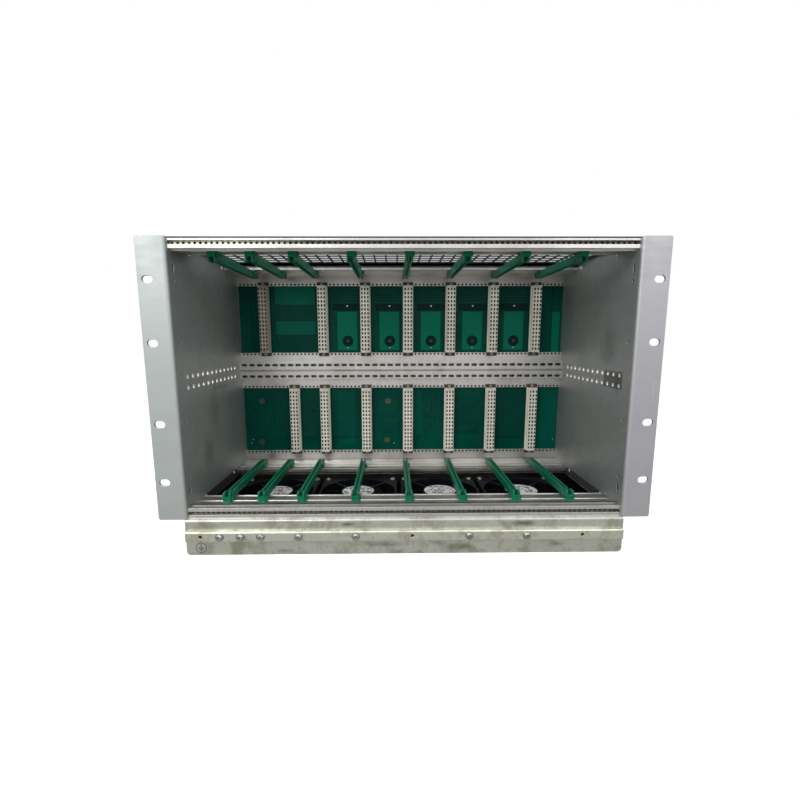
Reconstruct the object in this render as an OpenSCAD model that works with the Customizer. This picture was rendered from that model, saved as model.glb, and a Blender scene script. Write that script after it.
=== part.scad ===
// Subrack card cage: two tiers of plug-in card slots in a rack-mounting frame, with backplanes,
// connectors, card guides, an earth bar and a fan tray below the cards.
//
// Axes: X runs across the rack, Y from the front to the back, Z up.
// Every module is drawn in the cage's own coordinates: X = 0 in the middle, Y = 0 on the front of
// the rack ears, Z = 0 on the underside of the cage. in_place() then moves it, so that the part's
// origin is the middle of its footprint on the surface that it stands on.

/* [Cage] */
// Rack height of one tier of cards
tier_h = 133.35; // [120:0.05:150]
// Gap that the cage leaves free to the next one in the rack
stack_gap = 0.8; // [0:0.1:2]
// Width across both rack ears
ear_span = 482.6; // [476:0.1:500]
// Clear width between the side panels
bay_w = 428; // [427:0.5:432]
// Horizontal pitch unit
hp = 5.08; // [4.9:0.01:5.08]

/* [Side panels] */
// Thickness of the side panel sheet
side_t = 2.5; // [1.5:0.25:3]
// Inside radius of the bend between panel and ear
ear_bend = 1; // [0.5:0.25:2]
// Front to back length of a side panel
panel_depth = 235; // [200:5:300]
// Corner radius of the ears
ear_corner = 2; // [1:0.5:4]
// Distance between the left and right rack slots
rack_slot_span = 465.1; // [463:0.1:467]
// Length of a rack slot
rack_slot_l = 10.3; // [8:0.1:12]
// Width of a rack slot
rack_slot_w = 6.8; // [6:0.1:7.5]
// Height between the outer pair of rack slots
rack_slot_outer = 190.5; // [180:0.5:200]
// Height between the inner pair of rack slots
rack_slot_inner = 76.2; // [60:0.2:90]
// Diameter of the round holes in the side panels
side_hole_d = 4.5; // [3:0.1:6]
// Spacing of the round holes
side_hole_pitch = 11.9; // [10:0.1:12]
// Number of round holes in a row
side_hole_n = 12; // [6:1:12]
// Depth of the first round hole behind the ears
side_hole_y = 24; // [20:1:30]
// Distance between the two rows of round holes
side_row_gap = 10.7; // [9:0.1:14]
// Diameter of the small locating holes behind the ears
locating_hole_d = 3; // [2:0.1:4]
// Depth of the locating holes and upright slots behind the ears
locating_y = 11.6; // [10:0.1:14]
// Length of the upright slots in the side panels
upright_slot_l = 8; // [6:0.5:10]
// Width of the upright slots
upright_slot_w = 3; // [2:0.1:4]
// Distance from the panel's end to the upright slots
upright_slot_z = 26.2; // [22:0.2:30]
// Diameter of the spare holes near the panels' upper and lower edges
spare_hole_d = 3.5; // [2:0.1:4]
// Distance of the spare holes from the panel's edge
spare_hole_z = 7.6; // [5:0.1:9]
// Depth of the front spare holes behind the ears
spare_hole_y = 47; // [46:0.5:60]
// Spacing of the spare holes
spare_hole_pitch = 84; // [60:1:88]

/* [Rails] */
// Setback of the front rails behind the ears
rail_setback = 3.5; // [2:0.25:6]
// Height of the line of panel screws above the cage's underside
line_z = 5.025; // [4.8:0.025:5.5]
// Height of the front rail's face
rail_face_h = 10.2; // [10:0.1:12]
// Depth of the front rail's solid block
rail_block_d = 12.4; // [12:0.1:14]
// Depth of the whole front rail
rail_depth = 41; // [38:1:46]
// Height of the web that carries the card guides
web_z = 8.3; // [8:0.1:9]
// Thickness of the web
web_t = 2; // [1:0.1:2.5]
// Thickness of the rails' ridges and lips
ridge_t = 1.6; // [1:0.1:2]
// Height of the lips below the web
lip_drop = 2.3; // [1:0.1:3]
// Height of the ridges above the web
ridge_h = 0.6; // [0.3:0.1:0.8]
// Height of the front ridge above the rail's face
front_ridge_h = 1.3; // [0.8:0.1:2]
// Setback of the front ridge from the rail's face
front_ridge_y = 5.3; // [4:0.1:6]
// Setback of the middle ridge from the rail's face
mid_ridge_y = 24.7; // [22.7:0.1:26]
// Opening of the groove in the rail's face
groove_open = 3.4; // [3:0.1:4]
// Thickness of the groove's lips
groove_lip = 3.2; // [2.5:0.1:3.5]
// Height of the threaded strip
strip_h = 5.4; // [5:0.1:5.6]
// Thickness of the threaded strip
strip_t = 3; // [2:0.1:3.2]
// Clearance of the threaded strip's ends to the side panels
strip_end_gap = 0.64; // [0.2:0.02:1]
// Clearance of the threaded strip in its groove
strip_fit = 0.2; // [0.1:0.05:0.3]
// Diameter of the threaded holes along the rails
thread_d = 2.5; // [2:0.1:3]
// Diameter of the screw channels in the rails
channel_d = 3.3; // [3:0.1:3.6]
// Outside diameter of a screw channel's boss
channel_boss_d = 6.4; // [6:0.1:7]
// Depth of the front rail's front screw channel behind the rail's face
front_channel_y = 9.9; // [9.8:0.05:10.4]
// Depth of the front rail's rear screw channel before the rail's end
front_channel_end = 6.5; // [5:0.1:8]
// Depth of the rear rail's rear screw channel before its rear face
rear_channel_y = 8.2; // [7:0.1:9]
// Depth of the rear rail's front screw channel behind the rail's end
rear_channel_end = 7; // [5:0.1:8]
// Height of the relief between the threaded strip and the screw channel
relief_h = 2.6; // [2.2:0.1:2.8]
// Depth of the rear face of the rear rails, behind the ears
rear_face_y = 182.2; // [175:0.1:190]
// Thickness of the rear rails' upright flange
flange_t = 2.2; // [1.5:0.1:3]
// Depth of the whole rear rail
rear_rail_depth = 42.2; // [38:0.2:48]
// Spacing of the two ridges on the rear rails
rear_ridge_pitch = 12.5; // [11:0.5:13]
// Depth of the fillet between web and flange
fillet_d = 10; // [6:0.5:12]
// Height of the fillet
fillet_h = 2.7; // [1.5:0.1:4]
// Height of the flanges' hole rows away from the middle of a tier
hole_row = 45; // [44.5:0.1:46]
// Height of the open window in each tier, from the tier's middle to a flange's edge
window_half = 43.15; // [43.05:0.05:43.3]
// Height of a middle rail's hollow beam
beam_h = 11; // [9:0.5:12]
// Depth of a middle rail's hollow beam
beam_d = 8.2; // [7.5:0.1:9]
// Wall thickness of the hollow beam
beam_wall = 2; // [1.2:0.1:2.2]
// Gap between the two middle rails
beam_gap = 0.3; // [0:0.1:1]
// Chamfer along the middle rails' meeting edges
beam_chamfer = 1.4; // [0.5:0.1:1.8]
// Length of a slot in the middle rails
beam_slot_l = 7.5; // [5:0.1:8]
// Width of a slot in the middle rails
beam_slot_w = 3.4; // [2:0.1:4]
// Height of the slot row away from the cage's middle
beam_slot_z = 7.5; // [6:0.1:8]

/* [Backplanes and connectors] */
// Thickness of the backplane boards
board_t = 3.2; // [1.6:0.1:4]
// Clearance of the boards to the side panels
board_side_gap = 0.5; // [0.2:0.1:1]
// Clearance of a board to the cage's end
board_end_gap = 3.6; // [2:0.1:5]
// Clearance between a board and the cage's middle
board_mid_gap = 1; // [0.5:0.1:2]
// Width of a connector's body
conn_w = 11.5; // [10:0.1:13]
// Clearance between a connector's body and the window's ends
conn_end_gap = 0.35; // [0.2:0.05:0.6]
// Height of a connector's face in front of the board
conn_reach = 12.7; // [10:0.1:15]
// Width of a connector's mounting ears
conn_ear_w = 13.5; // [12:0.1:15]
// Thickness of the mounting ears
conn_ear_t = 3; // [2:0.1:4]
// Height of the mounting ears beyond the screw's middle
conn_ear_end = 2.5; // [2.3:0.1:3]
// Depth of the steps along a connector's face
conn_step_d = 2.2; // [1:0.1:4]
// Width of the steps along a connector's face
conn_step_w = 0.9; // [0.5:0.1:1.5]
// Height of the wells at the two ends of a connector's face
conn_well_h = 2.4; // [1:0.1:4]
// Width of the three contact grooves in a connector's face
conn_groove_w = 1.5; // [1:0.1:1.8]
// Depth of the contact grooves
conn_groove_d = 1.2; // [0.5:0.1:2]
// Length of the solid face between the contact grooves and the wells
conn_groove_end = 1.4; // [0.8:0.1:3]
// Offset of the connectors from their card slot, in pitch units
conn_offset = 0.66; // [0:0.01:1]
// Diameter of the connector screws
conn_screw_d = 2.3; // [2:0.1:2.3]
// Clearance of the connector screws' holes
conn_screw_fit = 0.15; // [0.1:0.05:0.3]
// Diameter of the connector screws' heads
conn_head_d = 4.4; // [3.5:0.1:5]
// Height of the connector screws' heads
conn_head_h = 1.6; // [1:0.1:2.2]
// Width of the connector screws' nuts across their corners
conn_nut_d = 5.4; // [4.5:0.1:6]
// Height of the connector screws' nuts
conn_nut_h = 1.8; // [1.2:0.1:1.8]

/* [Card guides] */
// Width of a card guide
guide_w = 6.4; // [5:0.1:8]
// Depth of the guides' front end behind the ears
guide_y = 24; // [20:0.5:26]
// Depth of the guides' rear end behind the ears
guide_end_y = 164; // [161:0.5:168]
// Height of a guide's runner above the web
guide_h = 8.7; // [7:0.1:10]
// Clearance below the runner, over the rails' ridges
guide_clear = 1.1; // [0.8:0.1:2]
// Width of the card groove
guide_groove_w = 2.2; // [1.8:0.1:3]
// Depth of the card groove
guide_groove_d = 3.5; // [2:0.1:5]
// Length of the front foot
guide_foot_l = 9.5; // [8:0.1:11]
// Extra width of the front foot on each side
guide_foot_side = 0.5; // [0.2:0.1:1]
// Extra height of the front foot
guide_foot_rise = 1.3; // [0.5:0.1:2]
// Width of the lead-in at its mouth
guide_mouth_w = 4.6; // [3.5:0.1:5.5]
// Length of the rear foot
guide_rear_l = 7; // [5:0.5:10]
// Length of the neck behind the front foot
guide_neck_l = 5; // [3:0.5:7]
// Depth of the recess over the neck
guide_neck_d = 2.6; // [1:0.1:3]
// Width of the latch beside each foot
guide_latch_w = 2.2; // [1:0.1:2.6]
// Height of the latches
guide_latch_h = 4.6; // [3:0.1:6]
// Length of the latches
guide_latch_l = 7; // [4:0.5:9]
// Length of the two prongs at the rear end
guide_prong_l = 6; // [3:0.5:8]
// Clearance of the feet over the ridges they straddle
guide_fit = 0.3; // [0.1:0.05:0.5]
// Offset of the guides from their card slot, in pitch units
guide_offset = -0.15; // [-0.5:0.05:0.3]

/* [Top cover] */
// Thickness of the cover sheet
cover_t = 1.5; // [1:0.1:2]
// Clearance of the cover to the side panels
cover_gap = 0.3; // [0.1:0.1:1]
// Spacing of the cover's square openings
grid_pitch = 12.7; // [11:0.1:12.9]
// Width of the bars between the openings
grid_bar = 1.5; // [1:0.1:3]
// Depth of the first row of openings behind the ears
grid_y = 20.5; // [18:0.5:30]
// Number of rows of openings
grid_rows = 9; // [6:1:9]
// Number of openings in a row
grid_columns = 33; // [27:2:33]

/* [Fan tray] */
// Height of the tray below the cage
tray_h = 37; // [34:0.5:50]
// Thickness of the tray's sheet
tray_t = 1.5; // [1:0.1:2]
// Room in front of the fans, from the tray's front
tray_front_room = 44; // [40:1:50]
// Room behind the fans, to the tray's rear face
tray_rear_room = 13; // [6:1:20]
// Outside radius of the bend at the tray's upper front edge
tray_bend = 3; // [2.2:0.1:5]
// Depth of the flange under the front rail
tray_front_flange = 20; // [16:1:30]
// Length of the flange under the rear rail, behind the tray
tray_rear_flange = 16; // [12:1:20]
// Width of the flanges along the sides
tray_side_flange = 2.5; // [2:0.5:12]
// Corner radius of the tray's lower front corners
tray_corner = 4; // [2:0.5:8]

/* [Fans] */
// Width of a square fan frame
fan_w = 92; // [80:1:93]
// Height of a fan
fan_h = 32; // [28:0.5:32]
// Gap between two fans
fan_gap = 5; // [2:0.5:5]
// Offset of the row of fans from the middle of the tray
fan_offset = -5; // [-10:0.5:10]
// Distance of the fan duct from the frame's edge
fan_rim = 2.5; // [2.5:0.1:5]
// Wall thickness of the fan duct
fan_wall = 2; // [1.5:0.1:2.4]
// Thickness of the fan's corner flanges
fan_flange_t = 3.5; // [2.5:0.1:5]
// Corner radius of the fan frame
fan_corner = 5; // [2:0.5:5]
// Distance of a fan's screw holes from the frame's edges
fan_hole_edge = 4.75; // [4.5:0.05:5]
// Diameter of a fan's screw holes
fan_hole_d = 4.4; // [4:0.1:4.6]
// Diameter of the fan's motor hub
fan_hub_d = 40; // [34:0.5:46]
// Thickness of the fixed hub plate and its struts
fan_hub_t = 3.2; // [2.5:0.1:4]
// Width of a strut
fan_strut_w = 3.2; // [2:0.1:5]
// Length by which a strut runs into the hub
fan_strut_root = 4; // [2:0.5:6]
// Number of struts
fan_struts = 4; // [3:1:5]
// Wall thickness of the rotor's cup
rotor_wall = 1.6; // [1.2:0.1:2.4]
// Clearance between the rotor and the fixed parts
rotor_gap = 1.2; // [0.8:0.1:2]
// Diameter of the rotor's shaft
shaft_d = 3; // [2:0.5:4]
// Clearance all round the shaft in its bearing
shaft_fit = 0.05; // [0.02:0.01:0.1]
// Number of blades
blades = 7; // [5:1:9]
// Clearance between the blades and the duct
blade_gap = 0.9; // [0.5:0.1:1.5]
// Thickness of a blade
blade_t = 1.8; // [1.2:0.1:2.4]
// Twist of a blade from bottom to top
blade_twist = 34; // [20:1:45]
// Sweep of a blade from hub to tip
blade_sweep = 22; // [0:1:30]
// Rings of openings in the guard below each fan
guard_rings = 4; // [3:1:4]
// Width of a guard opening
guard_slot = 5.4; // [4:0.1:6]
// Width of the metal between guard openings
guard_land = 2.6; // [2:0.1:4]
// Width of the four spokes across a guard
guard_spoke = 4; // [3:0.5:8]

/* [Earth bar] */
// Height of the earth bar
bar_h = 10; // [9:0.5:12]
// Thickness of the earth bar
bar_t = 4; // [3:0.5:5]
// Distance of the bar's upper edge below the cage
bar_drop = 11.5; // [8:0.5:14]
// Distance of the bar's ends from the tray's sides
bar_end_gap = 1.2; // [0:0.1:5]
// Rounding of the bar's upper front edge
bar_round = 1.5; // [0.5:0.1:2.5]
// Diameter of the holes in the bar
bar_hole_d = 3.3; // [3:0.1:4]
// Clearance of the tray's holes behind the bar
bar_hole_fit = 0.3; // [0.1:0.1:0.8]
// Thickness of an earth washer
washer_t = 0.8; // [0.5:0.1:1.2]
// Diameter of an earth washer
washer_d = 8.4; // [8:0.1:9]
// Diameter of an earth screw's head
bar_head_d = 6.8; // [6:0.1:7.4]
// Height of an earth screw's head
bar_head_h = 2.6; // [2:0.1:3]
// Width of the cross recess in the screws
recess_w = 1; // [0.6:0.1:1.4]

/* [Frame screws] */
// Diameter of the screws that hold the rails
rail_screw_d = 3.2; // [2.8:0.05:3.2]
// Clearance of these screws in the side panels
rail_screw_fit = 0.4; // [0.2:0.1:0.6]
// Length of these screws in the rails
rail_screw_l = 10; // [8:0.5:16]
// Diameter of their heads
rail_head_d = 7; // [6:0.1:8]
// Height of their heads
rail_head_h = 2.4; // [2:0.1:3]
// Diameter of the fan screws
fan_screw_d = 3.9; // [3:0.1:3.9]
// Diameter of the fan screws' heads
fan_head_d = 7; // [6:0.1:8]
// Height of the fan screws' heads
fan_head_h = 2; // [1.5:0.1:2.4]

/* [Hidden] */
$fn = 32;
// Small amount by which a cut runs past a face
over = 1;
// Whole pitch units between the side panels, an even number
hp_count = 2 * floor(bay_w / (2 * hp));
cage_h = 2 * tier_h - stack_gap;
mid_z = cage_h / 2;
lower_z = mid_z - tier_h / 2;
upper_z = mid_z + tier_h / 2;
wall_x = bay_w / 2;
outer_x = wall_x + side_t;
front_y = -(bar_t + washer_t + bar_head_h);
tray_depth = tray_front_room + fan_w + tray_rear_room;
fan_y = tray_front_room + fan_w / 2;
fan_pitch = fan_w + fan_gap;
// As many fans as the tray's width takes
fan_n = floor(2 * (outer_x - tray_t - abs(fan_offset)) / fan_pitch);
fan_duct_d = fan_w - 2 * fan_rim;
fan_hole_span = fan_w - 2 * fan_hole_edge;
middle_y = (front_y + panel_depth) / 2;

// Card slots, in pitch units from the middle of the cage
card_slots = [-36, -29, -21, -10, 1, 12, 23, 34];
upper_conns = [-36, -21, -10, 1, 12, 23, 34];
lower_conns = [-29, -21, -10, 1, 12, 23, 34];
// Holes of the earth bar in pitch units, and which of them carry a screw
bar_holes = [-39.5, -35.8, -31.8, -27.9, -20.65, -9.6, 1.35, 12.4, 23.55, 34.4];
bar_screwed = [1, 2, 3, 4, 5, 7, 8];

// Screw channels of the rails: [depth behind the ears, height above the cage's underside]
channel_z = web_z - channel_boss_d / 2;
front_channels = [[rail_setback + front_channel_y, line_z],
                  [rail_setback + rail_depth - front_channel_end, channel_z]];
rear_channels = [[rear_face_y - rear_channel_y, line_z],
                 [rear_face_y - rear_rail_depth + rear_channel_end, channel_z]];
beam_y = rear_face_y - beam_d / 2;
beam_z = beam_gap / 2 + beam_h / 2;

board_y = rear_face_y;
conn_face_y = board_y - conn_reach;
conn_half = window_half - conn_end_gap;
flange_y = rear_face_y - flange_t;

// ---- placing and shared shapes ----

// Moves the cage's own coordinates to the part's origin.
module in_place() {
    translate([0, -middle_y, tray_h]) children();
}

// Turns a shape of the lower half of the cage into its twin in the upper half.
module flip_up() {
    translate([0, 0, cage_h]) mirror([0, 0, 1]) children();
}

// Extrudes a section drawn in (depth, height) across the cage, over the given width.
module across(width) {
    translate([-width / 2, 0, 0]) rotate([90, 0, 90]) linear_extrude(width) children();
}

// Extrudes a drawing in (X, height) from depth y backwards.
module plate_at(y, thickness) {
    translate([0, y + thickness, 0]) rotate([90, 0, 0]) linear_extrude(thickness) children();
}

// A round hole or rod along X, centred on x = 0.
module rod_x(d, length) {
    rotate([0, 90, 0]) cylinder(d = d, h = length, center = true);
}

// A round rod along Y that starts at y = 0 and runs backwards.
module rod_y(d, length) {
    rotate([-90, 0, 0]) cylinder(d = d, h = length);
}

// One quarter of a ring: a bend between two legs of sheet, whose legs leave it towards
// +u at v = 0 and towards +v at u = 0.
module bend(outer_r, sheet) {
    intersection() {
        difference() {
            translate([outer_r, outer_r]) circle(outer_r);
            translate([outer_r, outer_r]) circle(outer_r - sheet);
        }
        square(outer_r);
    }
}

// A rounded plate centred on the origin.
module rounded_square(w, r) {
    square([w - 2 * r, w], center = true);
    square([w, w - 2 * r], center = true);
    for (x = [-1, 1], y = [-1, 1])
        translate([x * (w / 2 - r), y * (w / 2 - r)]) circle(r);
}

// A slot with round ends, its length along the first axis.
module slot_2d(length, width) {
    square([length - width, width], center = true);
    for (s = [-1, 1]) translate([s * (length - width) / 2, 0]) circle(d = width);
}

// A screw with a pan head, its head's seat at z = 0 and its shank towards -Z.
module pan_screw(d, length, head_d, head_h) {
    translate([0, 0, -length]) cylinder(d = d, h = length);
    difference() {
        union() {
            cylinder(d = head_d, h = head_h * 0.55);
            translate([0, 0, head_h * 0.55])
                cylinder(d1 = head_d, d2 = head_d * 0.66, h = head_h * 0.45);
        }
        for (turn = [0, 90])
            rotate([0, 0, turn])
                translate([-head_d * 0.26, -recess_w / 2, head_h * 0.45])
                    cube([head_d * 0.52, recess_w, head_h]);
    }
}

// Middle of a hole along the rails, counted from the left.
function hole_x(i) = (i - (hp_count - 1) / 2) * hp;

// ---- side panels ----

module side_panel() {
    outer_r = ear_bend + side_t;
    difference() {
        linear_extrude(cage_h) {
            translate([wall_x, 0]) bend(outer_r, side_t);
            translate([wall_x, outer_r]) square([side_t, panel_depth - outer_r]);
            translate([wall_x + outer_r, 0])
                square([ear_span / 2 - wall_x - outer_r, side_t]);
        }
        for (z = [0, cage_h])
            translate([ear_span / 2, 0, z]) ear_corner_cut(z > 0);
        for (dz = [-1, 1], span = [rack_slot_inner, rack_slot_outer])
            translate([rack_slot_span / 2, 0, mid_z + dz * span / 2])
                plate_at(-over, side_t + 2 * over) slot_2d(rack_slot_l, rack_slot_w);
        translate([wall_x + side_t / 2, 0, 0]) side_panel_holes(side_t + 2 * over);
    }
}

// Cuts one ear corner to its radius; the upper corner's cut is turned over.
module ear_corner_cut(upper) {
    mirror([0, 0, upper ? 1 : 0])
        plate_at(-over, side_t + 2 * over)
            difference() {
                translate([-ear_corner, -over]) square([ear_corner + over, ear_corner + over]);
                translate([-ear_corner, ear_corner]) circle(ear_corner);
            }
}

module side_panel_holes(length) {
    row_z = mid_z - side_row_gap / 2;
    for (i = [0 : side_hole_n - 1], row = [0, 1])
        translate([0, side_hole_y + i * side_hole_pitch, row_z + row * side_row_gap])
            rod_x(side_hole_d, length);
    for (dz = [-1, 1], span = [rack_slot_inner, rack_slot_outer])
        translate([0, locating_y, mid_z + dz * span / 2]) rod_x(locating_hole_d, length);
    for (up = [0, 1])
        mirrored_up(up) {
            translate([-length / 2, locating_y, upright_slot_z])
                rotate([90, 0, 90]) linear_extrude(length)
                    rotate(90) slot_2d(upright_slot_l, upright_slot_w);
            for (y = [spare_hole_y, spare_hole_y + spare_hole_pitch])
                translate([0, y, spare_hole_z]) rod_x(spare_hole_d, length);
            for (p = concat(front_channels, rear_channels))
                translate([0, p[0], p[1]]) rod_x(rail_screw_d + rail_screw_fit, length);
        }
    for (s = [-1, 1])
        translate([0, beam_y, mid_z + s * beam_z])
            rod_x(rail_screw_d + rail_screw_fit, length);
}

// Draws its children as they are, or turned over into the upper half.
module mirrored_up(up) {
    if (up == 1) flip_up() children();
    else children();
}

module side_panel_left() {
    color([0.66, 0.68, 0.68]) in_place() mirror([1, 0, 0]) side_panel();
}

module side_panel_right() {
    color([0.66, 0.68, 0.68]) in_place() side_panel();
}

// ---- front rails and their threaded strips ----

strip_y = rail_setback + groove_lip + strip_fit;
cavity_d = strip_t + 2 * strip_fit;
cavity_h = strip_h + 2 * strip_fit;

// Section of the front rail; outer is what the cover sheet takes off its outer face.
module front_rail_section(outer) {
    difference() {
        union() {
            translate([rail_setback, outer])
                square([rail_block_d, rail_face_h - outer]);
            translate([rail_setback + front_ridge_y, rail_face_h])
                square([ridge_t, front_ridge_h]);
            translate([rail_setback, web_z - web_t]) square([rail_depth, web_t]);
            translate([rail_setback + mid_ridge_y, web_z]) square([ridge_t, ridge_h]);
            translate([rail_setback + rail_depth - ridge_t, web_z - web_t - lip_drop])
                square([ridge_t, lip_drop + web_t + ridge_h]);
            translate(front_channels[1]) circle(d = channel_boss_d);
        }
        translate([rail_setback - over, line_z - groove_open / 2])
            square([groove_lip + over + cavity_d / 2, groove_open]);
        translate([rail_setback + groove_lip, line_z - cavity_h / 2])
            square([cavity_d, cavity_h]);
        // room behind the strip for the ends of its screws
        translate([rail_setback + groove_lip, line_z - relief_h / 2])
            square([front_channel_y - groove_lip, relief_h]);
        for (p = front_channels) translate(p) circle(d = channel_d);
    }
}

module front_rail(outer) {
    across(bay_w) front_rail_section(outer);
}

module front_rail_bottom() {
    color([0.83, 0.82, 0.79]) in_place() front_rail(0);
}

module front_rail_top() {
    color([0.83, 0.82, 0.79]) in_place() flip_up() front_rail(cover_t);
}

module threaded_strip() {
    translate([0, 0, line_z])
        plate_at(strip_y, strip_t)
            difference() {
                square([bay_w - 2 * strip_end_gap, strip_h], center = true);
                for (i = [0 : hp_count - 1]) translate([hole_x(i), 0]) circle(d = thread_d, $fn = 16);
            }
}

module threaded_strip_bottom() {
    color([0.42, 0.41, 0.38]) in_place() threaded_strip();
}

module threaded_strip_top() {
    color([0.42, 0.41, 0.38]) in_place() flip_up() threaded_strip();
}

// ---- rear and middle rails ----

// Section of the rear rail; outer is what the cover sheet takes off its outer face.
module rear_rail_section(outer) {
    front = rear_face_y - rear_rail_depth;
    // radius of the arc that rises fillet_h over fillet_d
    fillet_r = (fillet_d * fillet_d + fillet_h * fillet_h) / (2 * fillet_h);
    difference() {
        union() {
            translate([flange_y, outer])
                square([flange_t, lower_z - window_half - outer]);
            translate([rear_face_y - rail_block_d, outer])
                square([rail_block_d, web_z - outer]);
            translate([front, web_z - web_t]) square([rear_rail_depth, web_t]);
            translate([front, web_z - web_t - lip_drop]) square([ridge_t, lip_drop + web_t + ridge_h]);
            for (k = [1, 2])
                translate([front + k * rear_ridge_pitch, web_z]) square([ridge_t, ridge_h]);
            // concave fillet between the web and the flange
            difference() {
                translate([flange_y - fillet_d, web_z - over])
                    square([fillet_d + over, over + fillet_h]);
                translate([flange_y - fillet_d, web_z + fillet_r])
                    circle(r = fillet_r, $fn = 128);
            }
            translate(rear_channels[1]) circle(d = channel_boss_d);
        }
        for (p = rear_channels) translate(p) circle(d = channel_d);
    }
}

// Row of small holes through an upright flange at height z, in line with the connectors.
module flange_holes(z) {
    translate([0, 0, z])
        plate_at(flange_y - over, flange_t + 2 * over)
            for (i = [0 : hp_count - 1])
                translate([(i - hp_count / 2 + conn_offset) * hp, 0]) circle(d = thread_d, $fn = 16);
}

module rear_rail(outer) {
    difference() {
        across(bay_w) rear_rail_section(outer);
        flange_holes(lower_z - hole_row);
    }
}

module rear_rail_bottom() {
    color([0.80, 0.79, 0.77]) in_place() rear_rail(0);
}

module rear_rail_top() {
    color([0.80, 0.79, 0.77]) in_place() flip_up() rear_rail(cover_t);
}

// The lower middle rail hangs below the cage's middle: a hollow beam with an upright flange.
module mid_rail() {
    top = mid_z - beam_gap / 2;
    bottom = lower_z + window_half;
    front = rear_face_y - beam_d;
    difference() {
        across(bay_w)
            difference() {
                union() {
                    translate([front, top - beam_h]) square([beam_d, beam_h]);
                    translate([flange_y, bottom]) square([flange_t, top - bottom]);
                }
                translate([front + beam_wall, top - beam_h + beam_wall])
                    square([beam_d - 2 * beam_wall, beam_h - 2 * beam_wall]);
                translate([front, top]) rotate(45)
                    square(beam_chamfer * sqrt(2), center = true);
            }
        flange_holes(lower_z + hole_row);
        translate([0, 0, mid_z - beam_slot_z])
            plate_at(front - over, beam_wall + 1.5 * over)
                for (i = [0 : hp_count / 2 - 1])
                    translate([hole_x(2 * i + 0.5), 0]) slot_2d(beam_slot_l, beam_slot_w);
    }
}

module mid_rail_lower() {
    color([0.80, 0.79, 0.77]) in_place() mid_rail();
}

module mid_rail_upper() {
    color([0.80, 0.79, 0.77]) in_place() flip_up() mid_rail();
}

// ---- backplanes and connectors ----

function slot_x(slots, i, offset) = (slots[i] + offset) * hp;

// A board over the window of the lower tier, with a hole for each connector screw.
module backplane(slots) {
    bottom = board_end_gap;
    top = mid_z - board_mid_gap;
    plate_at(board_y, board_t)
        difference() {
            translate([-(wall_x - board_side_gap), bottom])
                square([2 * (wall_x - board_side_gap), top - bottom]);
            for (i = [0 : len(slots) - 1], s = [-1, 1])
                translate([slot_x(slots, i, conn_offset), lower_z + s * hole_row])
                    circle(d = conn_screw_d + 2 * conn_screw_fit, $fn = 16);
        }
}

module backplane_lower() {
    color([0.02, 0.24, 0.16]) in_place() backplane(lower_conns);
}

module backplane_upper() {
    color([0.02, 0.24, 0.16]) in_place() flip_up() backplane(upper_conns);
}

// A socket connector of the lower tier, drawn at x = 0.
module connector() {
    ear_half = hole_row + conn_ear_end;
    groove_half = conn_half - 1.5 * conn_well_h - conn_groove_end;
    translate([0, 0, lower_z])
        difference() {
            union() {
                translate([-conn_w / 2, conn_face_y, -conn_half])
                    cube([conn_w, conn_reach, 2 * conn_half]);
                difference() {
                    plate_at(flange_y - conn_ear_t, conn_ear_t)
                        square([conn_ear_w, 2 * ear_half], center = true);
                    for (s = [-1, 1])
                        translate([0, flange_y - conn_ear_t - over, s * hole_row])
                            rod_y(conn_screw_d + 2 * conn_screw_fit, conn_ear_t + 2 * over);
                }
            }
            // steps along both long sides of the face, and a well at each end
            for (s = [-1, 1]) {
                translate([s * conn_w / 2 - conn_step_w, conn_face_y - over, -conn_half - over])
                    cube([2 * conn_step_w, conn_step_d + over, 2 * (conn_half + over)]);
                translate([-conn_w / 4, conn_face_y - over,
                           s * (conn_half - conn_well_h) - conn_well_h / 2])
                    cube([conn_w / 2, conn_step_d + over, conn_well_h]);
            }
            // one groove for each column of contacts
            for (column = [-1, 0, 1])
                translate([column * hp / 2 - conn_groove_w / 2, conn_face_y - over, -groove_half])
                    cube([conn_groove_w, conn_groove_d + over, 2 * groove_half]);
        }
}

module connector_lower(i) {
    color([0.70, 0.68, 0.60]) in_place()
        translate([slot_x(lower_conns, i - 1, conn_offset), 0, 0]) connector();
}

module connector_upper(i) {
    color([0.70, 0.68, 0.60]) in_place() flip_up()
        translate([slot_x(upper_conns, i - 1, conn_offset), 0, 0]) connector();
}

// ---- card guides ----

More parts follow.
